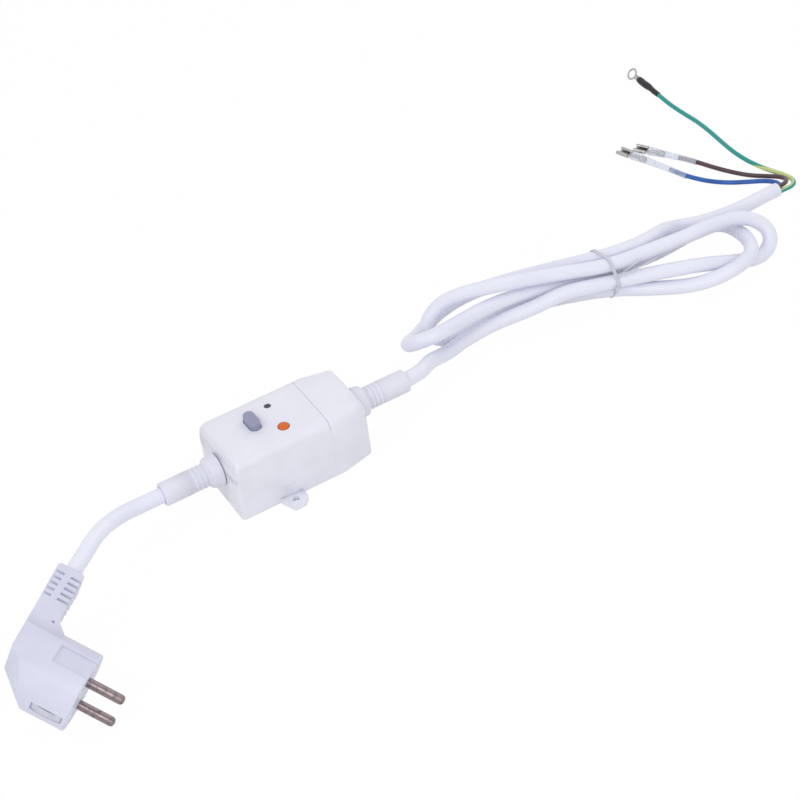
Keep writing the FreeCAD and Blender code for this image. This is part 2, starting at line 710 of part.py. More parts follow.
def make_top_cover():
    """Cover over the circuit board, with openings for the buttons and the indicator."""
    cover = cover_shell(-HOUSING_LENGTH, LID_SEAM, COVER_BOSSES)
    low = HOUSING_HEIGHT - WALL - 3
    high = HOUSING_HEIGHT + 1
    room = 2 * HOLE_CLEARANCE
    window = stadium(RESET_X, RESET_Y, RESET_WIDTH + room, RESET_LENGTH + room, low, high)
    test_hole = rod((TEST_X, TEST_Y, low), (TEST_X, TEST_Y, high), TEST_RADIUS + HOLE_CLEARANCE)
    lens_hole = rod((LENS_X, LENS_Y, low), (LENS_X, LENS_Y, high), LENS_RADIUS + 0.05)
    return cover.cut(window).cut(test_hole).cut(lens_hole)


def make_reset_button():
    """Stadium cap with a domed top, a flange under the cover and a stem."""
    flange_top = HOUSING_HEIGHT - WALL - CROWN - FIT
    top = HOUSING_HEIGHT + RESET_PROUD
    cap = stadium(RESET_X, RESET_Y, RESET_WIDTH, RESET_LENGTH, flange_top - 0.5, top)
    cap = cap.makeFillet(0.7, [e for e in cap.Edges if e.BoundBox.ZMin > top - 0.01])
    rim = 3.0
    flange = stadium(RESET_X, RESET_Y, RESET_WIDTH + rim, RESET_LENGTH + rim,
                     flange_top - RESET_FLANGE, flange_top)
    stem_low = CARRIER_TOP + FIT
    stem = rod((RESET_X, RESET_Y, stem_low), (RESET_X, RESET_Y, flange_top - 0.5), RESET_STEM_RADIUS)
    return fuse([cap, flange, stem])


def coil_points(x, y, low, high, inner_radius):
    """Points along the wire of a compression spring."""
    rise = high - low - SPRING_WIRE
    turns = max(2, int(rise / SPRING_PITCH))
    steps = 6
    radius = inner_radius + SPRING_WIRE / 2
    points = []
    for k in range(turns * steps + 1):
        angle = 2 * math.pi * k / steps
        z = low + SPRING_WIRE / 2 + rise * k / (turns * steps)
        points.append((x + radius * math.cos(angle), y + radius * math.sin(angle), z))
    return points


def make_test_button():
    """Small round button with a domed top and a flange under the cover."""
    flange_top = HOUSING_HEIGHT - WALL - CROWN - FIT
    top = HOUSING_HEIGHT + TEST_PROUD
    low = GUIDE_PLATE_HEIGHT + GUIDE_PLATE_THICKNESS + 1.8
    profile = [
        (0, low),
        (TEST_STEM_RADIUS, low),
        (TEST_STEM_RADIUS, flange_top - TEST_FLANGE),
        (TEST_RADIUS + 1.1, flange_top - TEST_FLANGE),
        (TEST_RADIUS + 1.1, flange_top),
        (TEST_RADIUS, flange_top),
        (TEST_RADIUS, top - 0.5),
        (TEST_RADIUS * 0.86, top - 0.15),
        (TEST_RADIUS * 0.5, top),
        (0, top + 0.06),
    ]
    outline = [(TEST_X + r, TEST_Y, z) for r, z in profile]
    return turned(outline, (TEST_X, TEST_Y, 0), (0, 0, 1))


def make_lens():
    """Clear rod in the cover over the indicator lamp."""
    low = HOUSING_HEIGHT - WALL - CROWN - LENS_COLLAR_DROP
    top = HOUSING_HEIGHT - LENS_SUNK
    shaft = rod((LENS_X, LENS_Y, low), (LENS_X, LENS_Y, top), LENS_RADIUS)
    collar_top = HOUSING_HEIGHT - WALL - CROWN - 0.1
    collar = rod((LENS_X, LENS_Y, low), (LENS_X, LENS_Y, collar_top), LENS_RADIUS + 0.8)
    return fuse([shaft, collar])


def make_lamp():
    """Indicator lamp on two long legs that stand in the board."""
    low = BOARD_BOTTOM + BOARD_THICKNESS
    head_low = HOUSING_HEIGHT - WALL - CROWN - LENS_COLLAR_DROP - FIT - LAMP_HEIGHT
    legs = [
        rod((LENS_X + s * 1.27, LENS_Y, low), (LENS_X + s * 1.27, LENS_Y, head_low + 0.5), 0.35)
        for s in (-1, 1)
    ]
    head = rod((LENS_X, LENS_Y, head_low), (LENS_X, LENS_Y, head_low + LAMP_HEIGHT), LAMP_RADIUS)
    return fuse([head] + legs)


def make_board():
    """Circuit board on the four posts of the base."""
    top = BOARD_BOTTOM + BOARD_THICKNESS
    board = box((BOARD_X[0], -BOARD_HALF_WIDTH, BOARD_BOTTOM), (BOARD_X[1], BOARD_HALF_WIDTH, top))
    return board


def make_guide_frame():
    """Moulded frame that guides the contact carrier and carries the springs."""
    low = BOARD_BOTTOM + BOARD_THICKNESS
    plate_top = GUIDE_PLATE_HEIGHT + GUIDE_PLATE_THICKNESS
    plate = box((RESET_X - 5.0, -BOARD_HALF_WIDTH, GUIDE_PLATE_HEIGHT),
                (TEST_X + 5.0, BOARD_HALF_WIDTH, plate_top))
    rails = []
    for s in (-1, 1):
        inner = CARRIER_HALF_Y + SLIDE_FIT
        y_low, y_high = sorted((s * inner, s * BOARD_HALF_WIDTH))
        rails.append(box((RESET_X - 2.4, y_low, low), (RESET_X + 2.4, y_high, plate_top)))
    frame = fuse([plate] + rails)
    holes = [
        rod((RESET_X, RESET_Y, GUIDE_PLATE_HEIGHT - 1), (RESET_X, RESET_Y, plate_top + 1),
            RESET_STEM_RADIUS + SLIDE_FIT),
        rod((LENS_X, LENS_Y, GUIDE_PLATE_HEIGHT - 1), (LENS_X, LENS_Y, plate_top + 1), LAMP_RADIUS + FIT),
    ]
    return frame.cut(fuse(holes))


def make_carrier():
    """Bar that lifts the two moving contacts."""
    low = CARRIER_TOP - CARRIER_DEPTH
    return box((RESET_X - CARRIER_HALF_X, -CARRIER_HALF_Y, low),
               (RESET_X + CARRIER_HALF_X, CARRIER_HALF_Y, CARRIER_TOP))


def contact_strip(side, low):
    """Springy strip lying across the carrier, with its rivet."""
    y = side * CONTACT_Y
    half = CONTACT_WIDTH / 2
    strip = box((RESET_X - 8.2, y - half, low), (RESET_X + 1.6, y + half, low + CONTACT_THICKNESS))
    rivet_x = RESET_X - 6.4
    rivet = rod((rivet_x, y, low), (rivet_x, y, low + CONTACT_THICKNESS + RIVET_HEIGHT), RIVET_RADIUS)
    return fuse([strip, rivet])


def fixed_contact(side):
    """Bracket from the board up to a contact above the moving one."""
    y = side * CONTACT_Y
    half = CONTACT_WIDTH / 2
    low = CARRIER_TOP + CONTACT_THICKNESS + RIVET_HEIGHT + FIT
    foot = BOARD_BOTTOM + BOARD_THICKNESS
    x_post = RESET_X - 9.4
    post_y = y + side * 3.4
    post_low, post_high = sorted((post_y - half * 0.6, post_y + half * 0.6))
    post = box((x_post + 2.0, post_low, foot), (x_post + 2.8, post_high, low + 0.8))
    tongue_low, tongue_high = sorted((y - side * half, post_y + side * half * 0.6))
    tongue = box((x_post + 2.0, tongue_low, low), (RESET_X - 5.1, tongue_high, low + 0.8))
    return fuse([post, tongue])


def make_coil():
    """Bobbin with its winding, between two square flanges."""
    low = COIL_X - COIL_LENGTH / 2
    high = COIL_X + COIL_LENGTH / 2
    z = COIL_AXIS_HEIGHT
    y = COIL_Y
    winding = rod((low + 0.9, y, z), (high - 0.9, y, z), COIL_RADIUS)
    flanges = [
        rod((x, y, z), (x + 0.9, y, z), COIL_RADIUS + 0.5)
        for x in (low, high - 0.9)
    ]
    bobbin = fuse([winding] + flanges)
    return bobbin.cut(rod((low - 1, y, z), (high + 1, y, z), PLUNGER_RADIUS + SLIDE_FIT))


def make_coil_frame():
    """Steel bracket round the coil, with the two ears of the latch pin."""
    low = COIL_X - COIL_LENGTH / 2
    high = COIL_X + COIL_LENGTH / 2
    z = COIL_AXIS_HEIGHT
    y = COIL_Y
    foot = BOARD_BOTTOM + BOARD_THICKNESS
    side = COIL_RADIUS + 0.6
    pieces = [
        box((low - 1.1, y - side, foot), (high + 1.1, y + side, foot + 0.8)),
        box((high + 0.1, y - side, foot), (high + 1.1, y + side, z + side)),
        box((low - 1.1, y - side, foot), (low - 0.1, y + side, z + side)),
    ]
    for s in (-1, 1):
        arm_low, arm_high = sorted((y + s * 1.9, y + s * 2.9))
        pieces.append(box((LATCH_PIVOT_X - 1.5, arm_low, LATCH_PIVOT_HEIGHT - 1.5),
                          (low - 0.1, arm_high, LATCH_PIVOT_HEIGHT + 1.5)))
    frame = fuse(pieces)
    frame = frame.cut(rod((low - 2, y, z), (low + 1, y, z), PLUNGER_RADIUS + SLIDE_FIT))
    pin = rod((LATCH_PIVOT_X, y - 4, LATCH_PIVOT_HEIGHT), (LATCH_PIVOT_X, y + 4, LATCH_PIVOT_HEIGHT),
              LATCH_PIN_RADIUS + 0.02)
    return frame.cut(pin)


def make_latch():
    """Rocking latch: lower arm in front of the plunger, hook over the carrier."""
    pivot_x = LATCH_PIVOT_X
    y = COIL_Y
    arm_low = COIL_AXIS_HEIGHT - 1.8
    hook_low = CARRIER_TOP + FIT
    body = box((pivot_x - 0.6, y - 1.6, arm_low), (pivot_x + 0.6, y + 1.6, hook_low + 1.2))
    barrel = rod((pivot_x, y - 1.6, LATCH_PIVOT_HEIGHT), (pivot_x, y + 1.6, LATCH_PIVOT_HEIGHT), 1.4)
    hook_x = RESET_X + CARRIER_HALF_X - 0.8
    hook = box((hook_x, y - 1.6, hook_low), (pivot_x + 0.6, y + 1.6, hook_low + 1.2))
    latch = fuse([body, barrel, hook])
    bore = rod((pivot_x, y - 3, LATCH_PIVOT_HEIGHT), (pivot_x, y + 3, LATCH_PIVOT_HEIGHT),
               LATCH_PIN_RADIUS + 0.05)
    return latch.cut(bore)


def make_plunger():
    """Steel plunger that pushes the latch."""
    start = LATCH_PIVOT_X + 0.6 + FIT
    end = COIL_X + COIL_LENGTH / 2 - 1.5
    return rod((start, COIL_Y, COIL_AXIS_HEIGHT), (end, COIL_Y, COIL_AXIS_HEIGHT), PLUNGER_RADIUS)


def make_toroid():
    """Ring core that senses the difference between the two live conductors."""
    foot = BOARD_BOTTOM + BOARD_THICKNESS
    z = foot + TOROID_RADIUS
    low = TOROID_X - TOROID_LENGTH / 2
    high = TOROID_X + TOROID_LENGTH / 2
    ring = rod((low, 0, z), (high, 0, z), TOROID_RADIUS)
    seat = box((low, -3.2, foot), (high, 3.2, foot + 2.2))
    return fuse([ring, seat]).cut(rod((low - 1, 0, z), (high + 1, 0, z), TOROID_BORE))


def make_terminal_block():
    """Insulating block with three poles for the heater-side conductors."""
    top = FLOOR + BLOCK_HEIGHT
    block = box((BLOCK_X[0], -BLOCK_HALF_WIDTH, FLOOR), (BLOCK_X[1], BLOCK_HALF_WIDTH, top))
    cutters = []
    middle = (BLOCK_X[0] + BLOCK_X[1]) / 2
    for k in (-1, 0, 1):
        y = k * POLE_PITCH
        cutters.append(box((BLOCK_X[0] - 1, y - POLE_HALF, FLOOR + 3.0),
                           (BLOCK_X[1] + 1, y + POLE_HALF, FLOOR + 8.0)))
        cutters.append(rod((middle, y, FLOOR + 7.0), (middle, y, top + 1), 2.0))
    return block.cut(fuse(cutters))


def terminal_clamps():
    """Three brass bars with a wire bore and a screw hole."""
    bars = []
    middle = (BLOCK_X[0] + BLOCK_X[1]) / 2
    for k in (-1, 0, 1):
        y = k * POLE_PITCH
        bar = box((BLOCK_X[0] + 0.4, y - POLE_HALF + 0.05, FLOOR + 3.0),
                  (BLOCK_X[1] - 0.4, y + POLE_HALF - 0.05, FLOOR + 7.95))
        bore_ends = [(x, y, TERMINAL_AXIS) for x in (BLOCK_X[0] - 1, BLOCK_X[1] + 1)]
        wire_bore = rod(*bore_ends, TERMINAL_BORE)
        bar = bar.cut(wire_bore)
        bar = bar.cut(rod((middle, y, TERMINAL_AXIS), (middle, y, FLOOR + 9), 1.25))
        bars.append(bar)
    return Part.makeCompound(bars)


def terminal_screws():
    """Three grub screws that press on the conductors."""
    middle = (BLOCK_X[0] + BLOCK_X[1]) / 2
    screws = []
    for k in (-1, 0, 1):
        y = k * POLE_PITCH
        wire_top = TERMINAL_AXIS + INNER_CORE_DIAMETER / 2
        shank = rod((middle, y, wire_top), (middle, y, FLOOR + 10.0), 1.2)
        head = rod((middle, y, FLOOR + 8.2), (middle, y, FLOOR + 10.0), 1.8)
        slot = box((middle - 2, y - 0.3, FLOOR + 9.3), (middle + 2, y + 0.3, FLOOR + 10.5))
        screws.append(fuse([shank, head]).cut(slot))
    return Part.makeCompound(screws)


def plug_frame():
    """Placement that carries plug axes A, B, C into the object's axes."""
    heading = math.radians(PLUG_HEADING)
    dip = math.radians(PLUG_DIP)
    roll = math.radians(PLUG_ROLL)
    pins = Vector(math.cos(dip) * math.cos(heading), math.cos(dip) * math.sin(heading), -math.sin(dip))
    upright = Vector(math.sin(dip) * math.cos(heading), math.sin(dip) * math.sin(heading), math.cos(dip))
    sideways = upright.cross(pins)
    up = upright * math.cos(roll) + sideways * math.sin(roll)
    neck = up.cross(pins)
    down = up * -1
    matrix = Matrix(
        neck.x, pins.x, down.x, PLUG_FACE.x,
        neck.y, pins.y, down.y, PLUG_FACE.y,
        neck.z, pins.z, down.z, PLUG_FACE.z,
        0, 0, 0, 1,
    )
    return matrix


def on_plug(shape):
    """Copy of a shape carried from plug axes to its place on the table."""
    placed = shape.copy()
    placed.transformShape(plug_frame(), True)
    return placed


def rounded_plan(half_width):
    """Plan of the plug seen from behind: round cup running into the straight neck."""
    hip_a = 9.0
    hip_c = math.sqrt(PLUG_RADIUS ** 2 - hip_a ** 2)
    low = -NECK_BACK - 2
    root = (NECK_ROOT, half_width)
    mid = (17.2, half_width + 1.8)
    hips = [Vector(hip_a, low, s * hip_c) for s in (-1, 1)]
    mids = [Vector(mid[0], low, s * mid[1]) for s in (-1, 1)]
    roots = [Vector(root[0], low, s * root[1]) for s in (-1, 1)]
    ends = [Vector(NECK_END, low, s * half_width) for s in (-1, 1)]
    edges = [
        Part.Arc(hips[1], Vector(-PLUG_RADIUS, low, 0), hips[0]).toShape(),
        Part.Arc(hips[0], mids[0], roots[0]).toShape(),
        Part.LineSegment(roots[0], ends[0]).toShape(),
        Part.LineSegment(ends[0], ends[1]).toShape(),
        Part.LineSegment(ends[1], roots[1]).toShape(),
        Part.Arc(roots[1], mids[1], hips[1]).toShape(),
    ]
    return Part.Face(Part.Wire(edges)).extrude(Vector(0, NECK_BACK + 4, 0))


def beyond_plane(normal, distance):
    """Large block on the far side of a plane at a distance from the plug's origin."""
    reach = 2 * NECK_BACK
    block = Part.makeBox(2 * reach, 2 * reach, reach, Vector(-reach, -reach, 0))
    foot = Vector(normal).normalize() * distance
    block.Placement = FreeCAD.Placement(foot, FreeCAD.Rotation(Vector(0, 0, 1), normal))
    return block


def make_plug_body():
    """Moulded angled plug: round cup, sloping back, long neck with relief slots."""
    cup = rod((0, -PLUG_CUP_DEPTH, 0), (0, 0, 0), PLUG_RADIUS)
    cup = cup.makeFillet(0.8, [e for e in cup.Edges if e.BoundBox.YMin > -0.01])
    side = [
        (-PLUG_RADIUS, -PLUG_CUP_DEPTH + 2, 0),
        (-PLUG_RADIUS, -PLUG_CUP_DEPTH, 0),
        (-17.3, -26.6, 0),
        (-9.5, -33.0, 0),
        (-6.4, -37.2, 0),
        (-3.6, -38.2, 0),
        (10.9, -38.9, 0),
        (18.9, -39.9, 0),
        (NECK_END - 1.2, -NECK_BACK, 0),
        (NECK_END, -NECK_BACK + 1.2, 0),
        (NECK_END, -NECK_FRONT - 1.2, 0),
        (NECK_END - 1.2, -NECK_FRONT, 0),
        (NECK_ROOT, -NECK_FRONT + 0.6, 0),
        (NECK_ROOT - 4.0, -NECK_FRONT + 2.6, 0),
        (PLUG_RADIUS - 2.2, -PLUG_CUP_DEPTH - 0.4, 0),
        (PLUG_RADIUS - 4.5, -PLUG_CUP_DEPTH + 2, 0),
    ]
    depth = PLUG_RADIUS + 1
    block = polygon_face(side).extrude(Vector(0, 0, 2 * depth))
    block.translate(Vector(0, 0, -depth))
    back = block.common(rounded_plan(NECK_HALF_WIDTH))
    for s, shoulder in ((-1, 12.0), (1, 9.5)):
        facet = [
            (-30.0, -NECK_BACK - 3, s * shoulder),
            (-30.0, -NECK_BACK - 3, s * 25.0),
            (-30.0, -22.0, s * 25.0),
            (-30.0, -22.5, s * 19.8),
        ]
        wedge = polygon_face(facet).extrude(Vector(60, 0, 0))
        back = back.cut(wedge)
    body = fuse([cup, back])
    cutters = [beyond_plane(BACK_CUT_NORMAL, BACK_CUT_DISTANCE)]
    for s in (-1, 1):
        for k in range(SLOT_COUNT):
            a = SLOT_START + k * SLOT_PITCH
            c_low, c_high = sorted((s * (NECK_HALF_WIDTH - SLOT_DEPTH), s * (NECK_HALF_WIDTH + 1)))
            a_high = a + SLOT_WIDTH
            cutters.append(box((a, -NECK_BACK - 1, c_low), (a_high, -NECK_AXIS - SPINE_HALF, c_high)))
            cutters.append(box((a, -NECK_AXIS + SPINE_HALF, c_low), (a_high, -NECK_FRONT + 1, c_high)))
    half = GUIDE_NOTCH_WIDTH / 2
    for s in (-1, 1):
        c_low, c_high = sorted((s * (PLUG_RADIUS - GUIDE_NOTCH_DEPTH), s * (PLUG_RADIUS + 1)))
        cutters.append(box((-half, -PLUG_CUP_DEPTH + 2.0, c_low), (half, 1, c_high)))
    strip = EARTH_STRIP_WIDTH / 2 + EARTH_RECESS_ROOM
    recess_high = -(EARTH_CONTACT_START - EARTH_RECESS_ROOM)
    recess_low = recess_high - EARTH_CONTACT_LENGTH - 2 * EARTH_RECESS_ROOM
    for s in (-1, 1):
        a_low, a_high = sorted((s * (PLUG_RADIUS - EARTH_STRIP_THICKNESS - 1.0), s * (PLUG_RADIUS + 1)))
        cutters.append(box((a_low, recess_low, -strip), (a_high, recess_high, strip)))
    for s in (-1, 1):
        c = s * PIN_SPACING / 2
        cutters.append(rod((0, -PIN_ROOT, c), (0, 1, c), PIN_ROOT_RADIUS + 0.02))
    cutters.append(rod((NECK_END - 0.6, -NECK_AXIS, 0), (NECK_END + 1, -NECK_AXIS, 0), CORD_RADIUS + 0.3))
    cutters.append(rod(VENT_PLACE + (-NECK_HALF_WIDTH - 6,), VENT_PLACE + (-NECK_HALF_WIDTH + 1.5,),
                       VENT_RADIUS))
    return body.cut(fuse(cutters))


def make_pin(side):
    """Round contact pin with a domed tip and a root inside the moulding."""
    c = side * PIN_SPACING / 2
    profile = [
        (0, -PIN_ROOT),
        (PIN_ROOT_RADIUS, -PIN_ROOT),
        (PIN_ROOT_RADIUS, PIN_COLLAR),
        (PIN_RADIUS, PIN_COLLAR),
        (PIN_RADIUS, PIN_LENGTH - PIN_TIP),
        (PIN_RADIUS * 0.87, PIN_LENGTH - 0.8),
        (PIN_RADIUS * 0.5, PIN_LENGTH - 0.15),
        (0, PIN_LENGTH),
    ]
    outline = [(r, b, c) for r, b in profile]
    return turned(outline, (0, 0, c), (0, 1, 0))


def make_earth_strip(side):
    """Side earthing contact, bowed outwards in its recess."""
    inner = PLUG_RADIUS - EARTH_STRIP_THICKNESS - 1.0
    half = EARTH_STRIP_WIDTH / 2
    bow = EARTH_CONTACT_BOW
    low = -EARTH_CONTACT_START - EARTH_CONTACT_LENGTH
    outline = []
    steps = 6
    for k in range(steps + 1):
        share = k / steps
        reach = inner + bow * math.sin(math.pi * share)
        outline.append((side * reach, low + EARTH_CONTACT_LENGTH * share, -half))
    for k in range(steps + 1):
        share = 1 - k / steps
        reach = inner + EARTH_STRIP_THICKNESS + bow * math.sin(math.pi * share)
        outline.append((side * reach, low + EARTH_CONTACT_LENGTH * share, -half))
    return polygon_face(outline).extrude(Vector(0, 0, 2 * half))


def strands_at_tie(path):
    """Circle centres that cover the cord's strands over the width of the tie."""
    points = path.discretize(Distance=0.5)
    centres = []
    for here, there in zip(points, points[1:]):
        if (here.x - WAIST_X) * (there.x - WAIST_X) <= 0:
            share = (WAIST_X - here.x) / (there.x - here.x)
            spot = here + (there - here) * share
            run = there - here
            run.normalize()
            across = math.hypot(run.y, run.z)
            spread = CORD_RADIUS * (1 / abs(run.x) - 1) + TIE_WIDTH / 2 * across / abs(run.x)
            for s in (-1, 1):
                shift = Vector(0, run.y, run.z) * (s * spread / across)
                centres.append(Vector(WAIST_X, spot.y, spot.z) + shift)
    return centres


def hull(centres):
    """Outermost of the given points in the plane across the cord, in order."""
    ordered = sorted(centres, key=lambda c: (c.y, c.z))
    chain = []
    for run in (ordered, ordered[::-1]):
        start = len(chain)
        for c in run:
            while len(chain) - start >= 2:
                a = chain[-1] - chain[-2]
                b = c - chain[-2]
                if a.y * b.z - a.z * b.y > 0:
                    break
                chain.pop()
            chain.append(c)
        chain.pop()
    return chain


def belt_face(corners, reach):
    """Flat face inside a belt that runs round equal circles at the corners."""
    joins = []
    for i, here in enumerate(corners):
        there = corners[(i + 1) % len(corners)]
        run = there - here
        run.normalize()
        outward = run.cross(Vector(1, 0, 0)) * reach
        joins.append((here + outward, there + outward))
    edges = []
    for i, here in enumerate(corners):
        arrive = joins[i - 1][1]
        leave = joins[i][0]
        middle = (arrive - here) + (leave - here)
        middle.normalize()
        edges.append(Part.Arc(arrive, here + middle * reach, leave).toShape())
        edges.append(Part.LineSegment(*joins[i]).toShape())
    return Part.Face(Part.Wire(edges))


def make_tie(path):
    """Thin flat tie round the hank's waist, with a folded knot and two free tails."""
    corners = hull(strands_at_tie(path))
    inner = CORD_RADIUS + TIE_ROOM
    outer = inner + TIE_THICKNESS
    ring = belt_face(corners, outer).cut(belt_face(corners, inner))
    belt = ring.extrude(Vector(TIE_WIDTH, 0, 0))
    belt.translate(Vector(-TIE_WIDTH / 2, 0, 0))
    front = min(corners, key=lambda c: c.y)
    knot = Part.makeSphere(TIE_KNOT_RADIUS, front + Vector(0, -outer - TIE_KNOT_RADIUS / 3, -0.8))
    middle = inner + TIE_THICKNESS / 2
    root = front + Vector(0, -0.87 * middle + 1.5, 0.5 * middle + 2.6)
    pieces = [belt, knot]
    for bends in TIE_TAILS:
        stops = [tuple(root)] + [tuple(root + Vector(*bend)) for bend in bends]
        pieces.append(tube("tie_tail", stops, 2 * TIE_THICKNESS)[0])
    return fuse(pieces)


def lay_along(shape, start, toward, height):
    """Carry a shape whose length is +X to a start point, turned to a heading on the table."""
    heading = math.degrees(math.atan2(toward[1] - start[1], toward[0] - start[0]))
    placed = shape.copy()
    placed.rotate(Vector(0, 0, 0), Vector(0, 0, 1), heading)
    placed.translate(Vector(start[0], start[1], height))
    return placed


def open_barrel(low_x, high_x, radius, opening):
    """Rolled crimp: a C-shaped sleeve of thin strip, open at the top."""
    sleeve = rod((low_x, 0, 0), (high_x, 0, 0), radius)
    sleeve = sleeve.cut(rod((low_x - 1, 0, 0), (high_x + 1, 0, 0), radius - STRIP_THICKNESS))
    return sleeve.cut(box((low_x - 1, -opening / 2, 0), (high_x + 1, opening / 2, radius + 1)))


def receptacle():
    """Push-on blade receptacle: floor with two rolled edges, neck and two crimps."""
    half = RECEPTACLE_WIDTH / 2
    roll = RECEPTACLE_HEIGHT / 2
    low = -RECEPTACLE_LENGTH / 2
    high = RECEPTACLE_LENGTH / 2
    z_floor = -roll
    pieces = [box((low, -half + roll, z_floor), (high, half - roll, z_floor + STRIP_THICKNESS))]
    for s in (-1, 1):
        centre = s * (half - roll)
        curl = rod((low, centre, 0), (high, centre, 0), roll)
        curl = curl.cut(rod((low - 1, centre, 0), (high + 1, centre, 0), roll - STRIP_THICKNESS))
        y_low, y_high = sorted((centre - s * roll * 1.5, centre))
        inside = box((low - 1, y_low, -roll + STRIP_THICKNESS), (high + 1, y_high, roll * 0.35))
        pieces.append(curl.cut(inside))
    neck_low = low - 2.2
    pieces.append(box((neck_low, -1.3, z_floor), (low + 0.6, 1.3, z_floor + STRIP_THICKNESS)))
    wire_low = neck_low - 4.8
    pieces.append(open_barrel(wire_low, neck_low + 0.2, roll, 0.5))
    grip_radius = CORE_DIAMETER / 2 + 0.1 + STRIP_THICKNESS
    grip_low = wire_low - 4.4
    pieces.append(box((grip_low + 3.0, -1.0, -roll), (wire_low + 0.5, 1.0, -roll + STRIP_THICKNESS)))
    pieces.append(open_barrel(grip_low, grip_low + 3.4, grip_radius, 0.6))
    return fuse(pieces)


def core_in_crimp(length):
    """Bare copper strands inside a crimp, as one round bar."""
    return rod((0, 0, 0), (length, 0, 0), RECEPTACLE_HEIGHT / 2 - STRIP_THICKNESS - 0.05)


def flat_ring():
    """Ring terminal: flat eye, neck and barrel, rolled about its own length."""
    eye = rod((0, 0, -RING_THICKNESS / 2), (0, 0, RING_THICKNESS / 2), RING_RADIUS)
    half = RING_THICKNESS / 2
    neck = box((-RING_RADIUS - 3.0, -1.7, -half), (-RING_RADIUS + 0.8, 1.7, half))
    barrel = rod((-RING_RADIUS - 8.0, 0, 0), (-RING_RADIUS - 2.4, 0, 0), 1.6)
    whole = fuse([eye, neck, barrel])
    whole = whole.cut(rod((0, 0, -1), (0, 0, 1), RING_HOLE_RADIUS))
    whole.rotate(Vector(0, 0, 0), Vector(1, 0, 0), RING_ROLL)
    return whole


def sleeve(length, outer, wall):
    """Open tube along +X."""
    bore = rod((-1, 0, 0), (length + 1, 0, 0), outer - wall)
    return rod((0, 0, 0), (length, 0, 0), outer).cut(bore)


def fit_conductors(nodes):
    """Cores beyond the sheath, with their sleeves and terminals."""
    for name, points, target in (
        ("live", LIVE_WIRE_POINTS, LIVE_RECEPTACLE),
        ("neutral", NEUTRAL_WIRE_POINTS, NEUTRAL_RECEPTACLE),
    ):
        covered = tube(name + "_wire", points, CORE_DIAMETER)[0]
        end = points[-1]
        gap = math.hypot(target[0] - end[0], target[1] - end[1])
        body = receptacle()
        body.translate(Vector(gap, 0, 0))
        nodes[name + "_receptacle"] = lay_along(body, end, target, end[2])
        sleeve_length = gap - RECEPTACLE_LENGTH / 2 - 1.0 + 5.0
        cover = sleeve(sleeve_length, SLEEVE_RADIUS, SLEEVE_WALL)
        cover.translate(Vector(-5.0, 0, 0))
        nodes[name + "_sleeve"] = lay_along(cover, end, target, end[2])
        strands = core_in_crimp(gap - RECEPTACLE_LENGTH / 2 - 2.5)
        nodes[name + "_wire"] = fuse([covered, lay_along(strands, end, target, end[2])])
    nodes["earth_wire"] = tube("earth_wire", EARTH_WIRE_POINTS, CORE_DIAMETER)[0]
    end = EARTH_WIRE_POINTS[-1]
    ahead = (end[0] + 0.05, end[1] + 1.0)
    shrink = sleeve(SHRINK_LENGTH, SHRINK_RADIUS, SHRINK_RADIUS - SHRINK_BORE)
    shrink.translate(Vector(-SHRINK_OVERLAP, 0, 0))
    nodes["earth_heat_shrink"] = lay_along(shrink, end, ahead, end[2])
    eye = flat_ring()
    eye.translate(Vector(SHRINK_LENGTH + RING_RADIUS, 0, 0))
    nodes["earth_ring_terminal"] = lay_along(eye, end, ahead, end[2])


def heater_core_points(k):
    """Route of one core from the heater-side sheath end to its terminal."""
    pole = k * POLE_PITCH
    if k == 0:
        return [
            (CORD_INNER_END, 0, CORD_AXIS_HEIGHT - 1.7),
            (CORD_INNER_END - 2.1, 0, CORD_AXIS_HEIGHT - 1.7),
            (BLOCK_X[1] + 2.0, 0, CORD_AXIS_HEIGHT - 3.7),
            (BLOCK_X[1] + 1.9, 0, 13.6),
            (BLOCK_X[1] + 1.85, 0, 10.7),
            (BLOCK_X[1] + 1.7, 0, TERMINAL_AXIS),
            (BLOCK_X[1] - 3.0, 0, TERMINAL_AXIS + 0.02),
        ]
    return [
        (CORD_INNER_END, k * 1.5, CORD_AXIS_HEIGHT + 0.9),
        (CORD_INNER_END - 2.3, k * 1.5, CORD_AXIS_HEIGHT + 0.9),
        (BLOCK_X[1] + 2.1, k * 4.4, CORD_AXIS_HEIGHT - 1.7),
        (BLOCK_X[1] + 1.95, k * 7.2, 15.4),
        (BLOCK_X[1] + 1.9, pole, 11.3),
        (BLOCK_X[1] + 1.7, pole, TERMINAL_AXIS),
        (BLOCK_X[1] - 3.0, pole, TERMINAL_AXIS + 0.02),
    ]


def plug_core_points(k):
    """Route of one core from the plug-side sheath end to the board."""
    return [
        (-CORD_INNER_END, k * 1.5, CORD_AXIS_HEIGHT + 0.9),
        (2.3 - CORD_INNER_END, k * 1.5, CORD_AXIS_HEIGHT + 0.9),
        (BOARD_X[0] - 0.4, k * 3.4, CORD_AXIS_HEIGHT - 1.7),
        (BOARD_X[0] + 1.7, k * 4.8, 15.5),
        (BOARD_X[0] + 2.35, k * 5.0, 12.4),
        (BOARD_X[0] + 2.4, k * 5.0, BOARD_BOTTOM + BOARD_THICKNESS + 0.03),
    ]


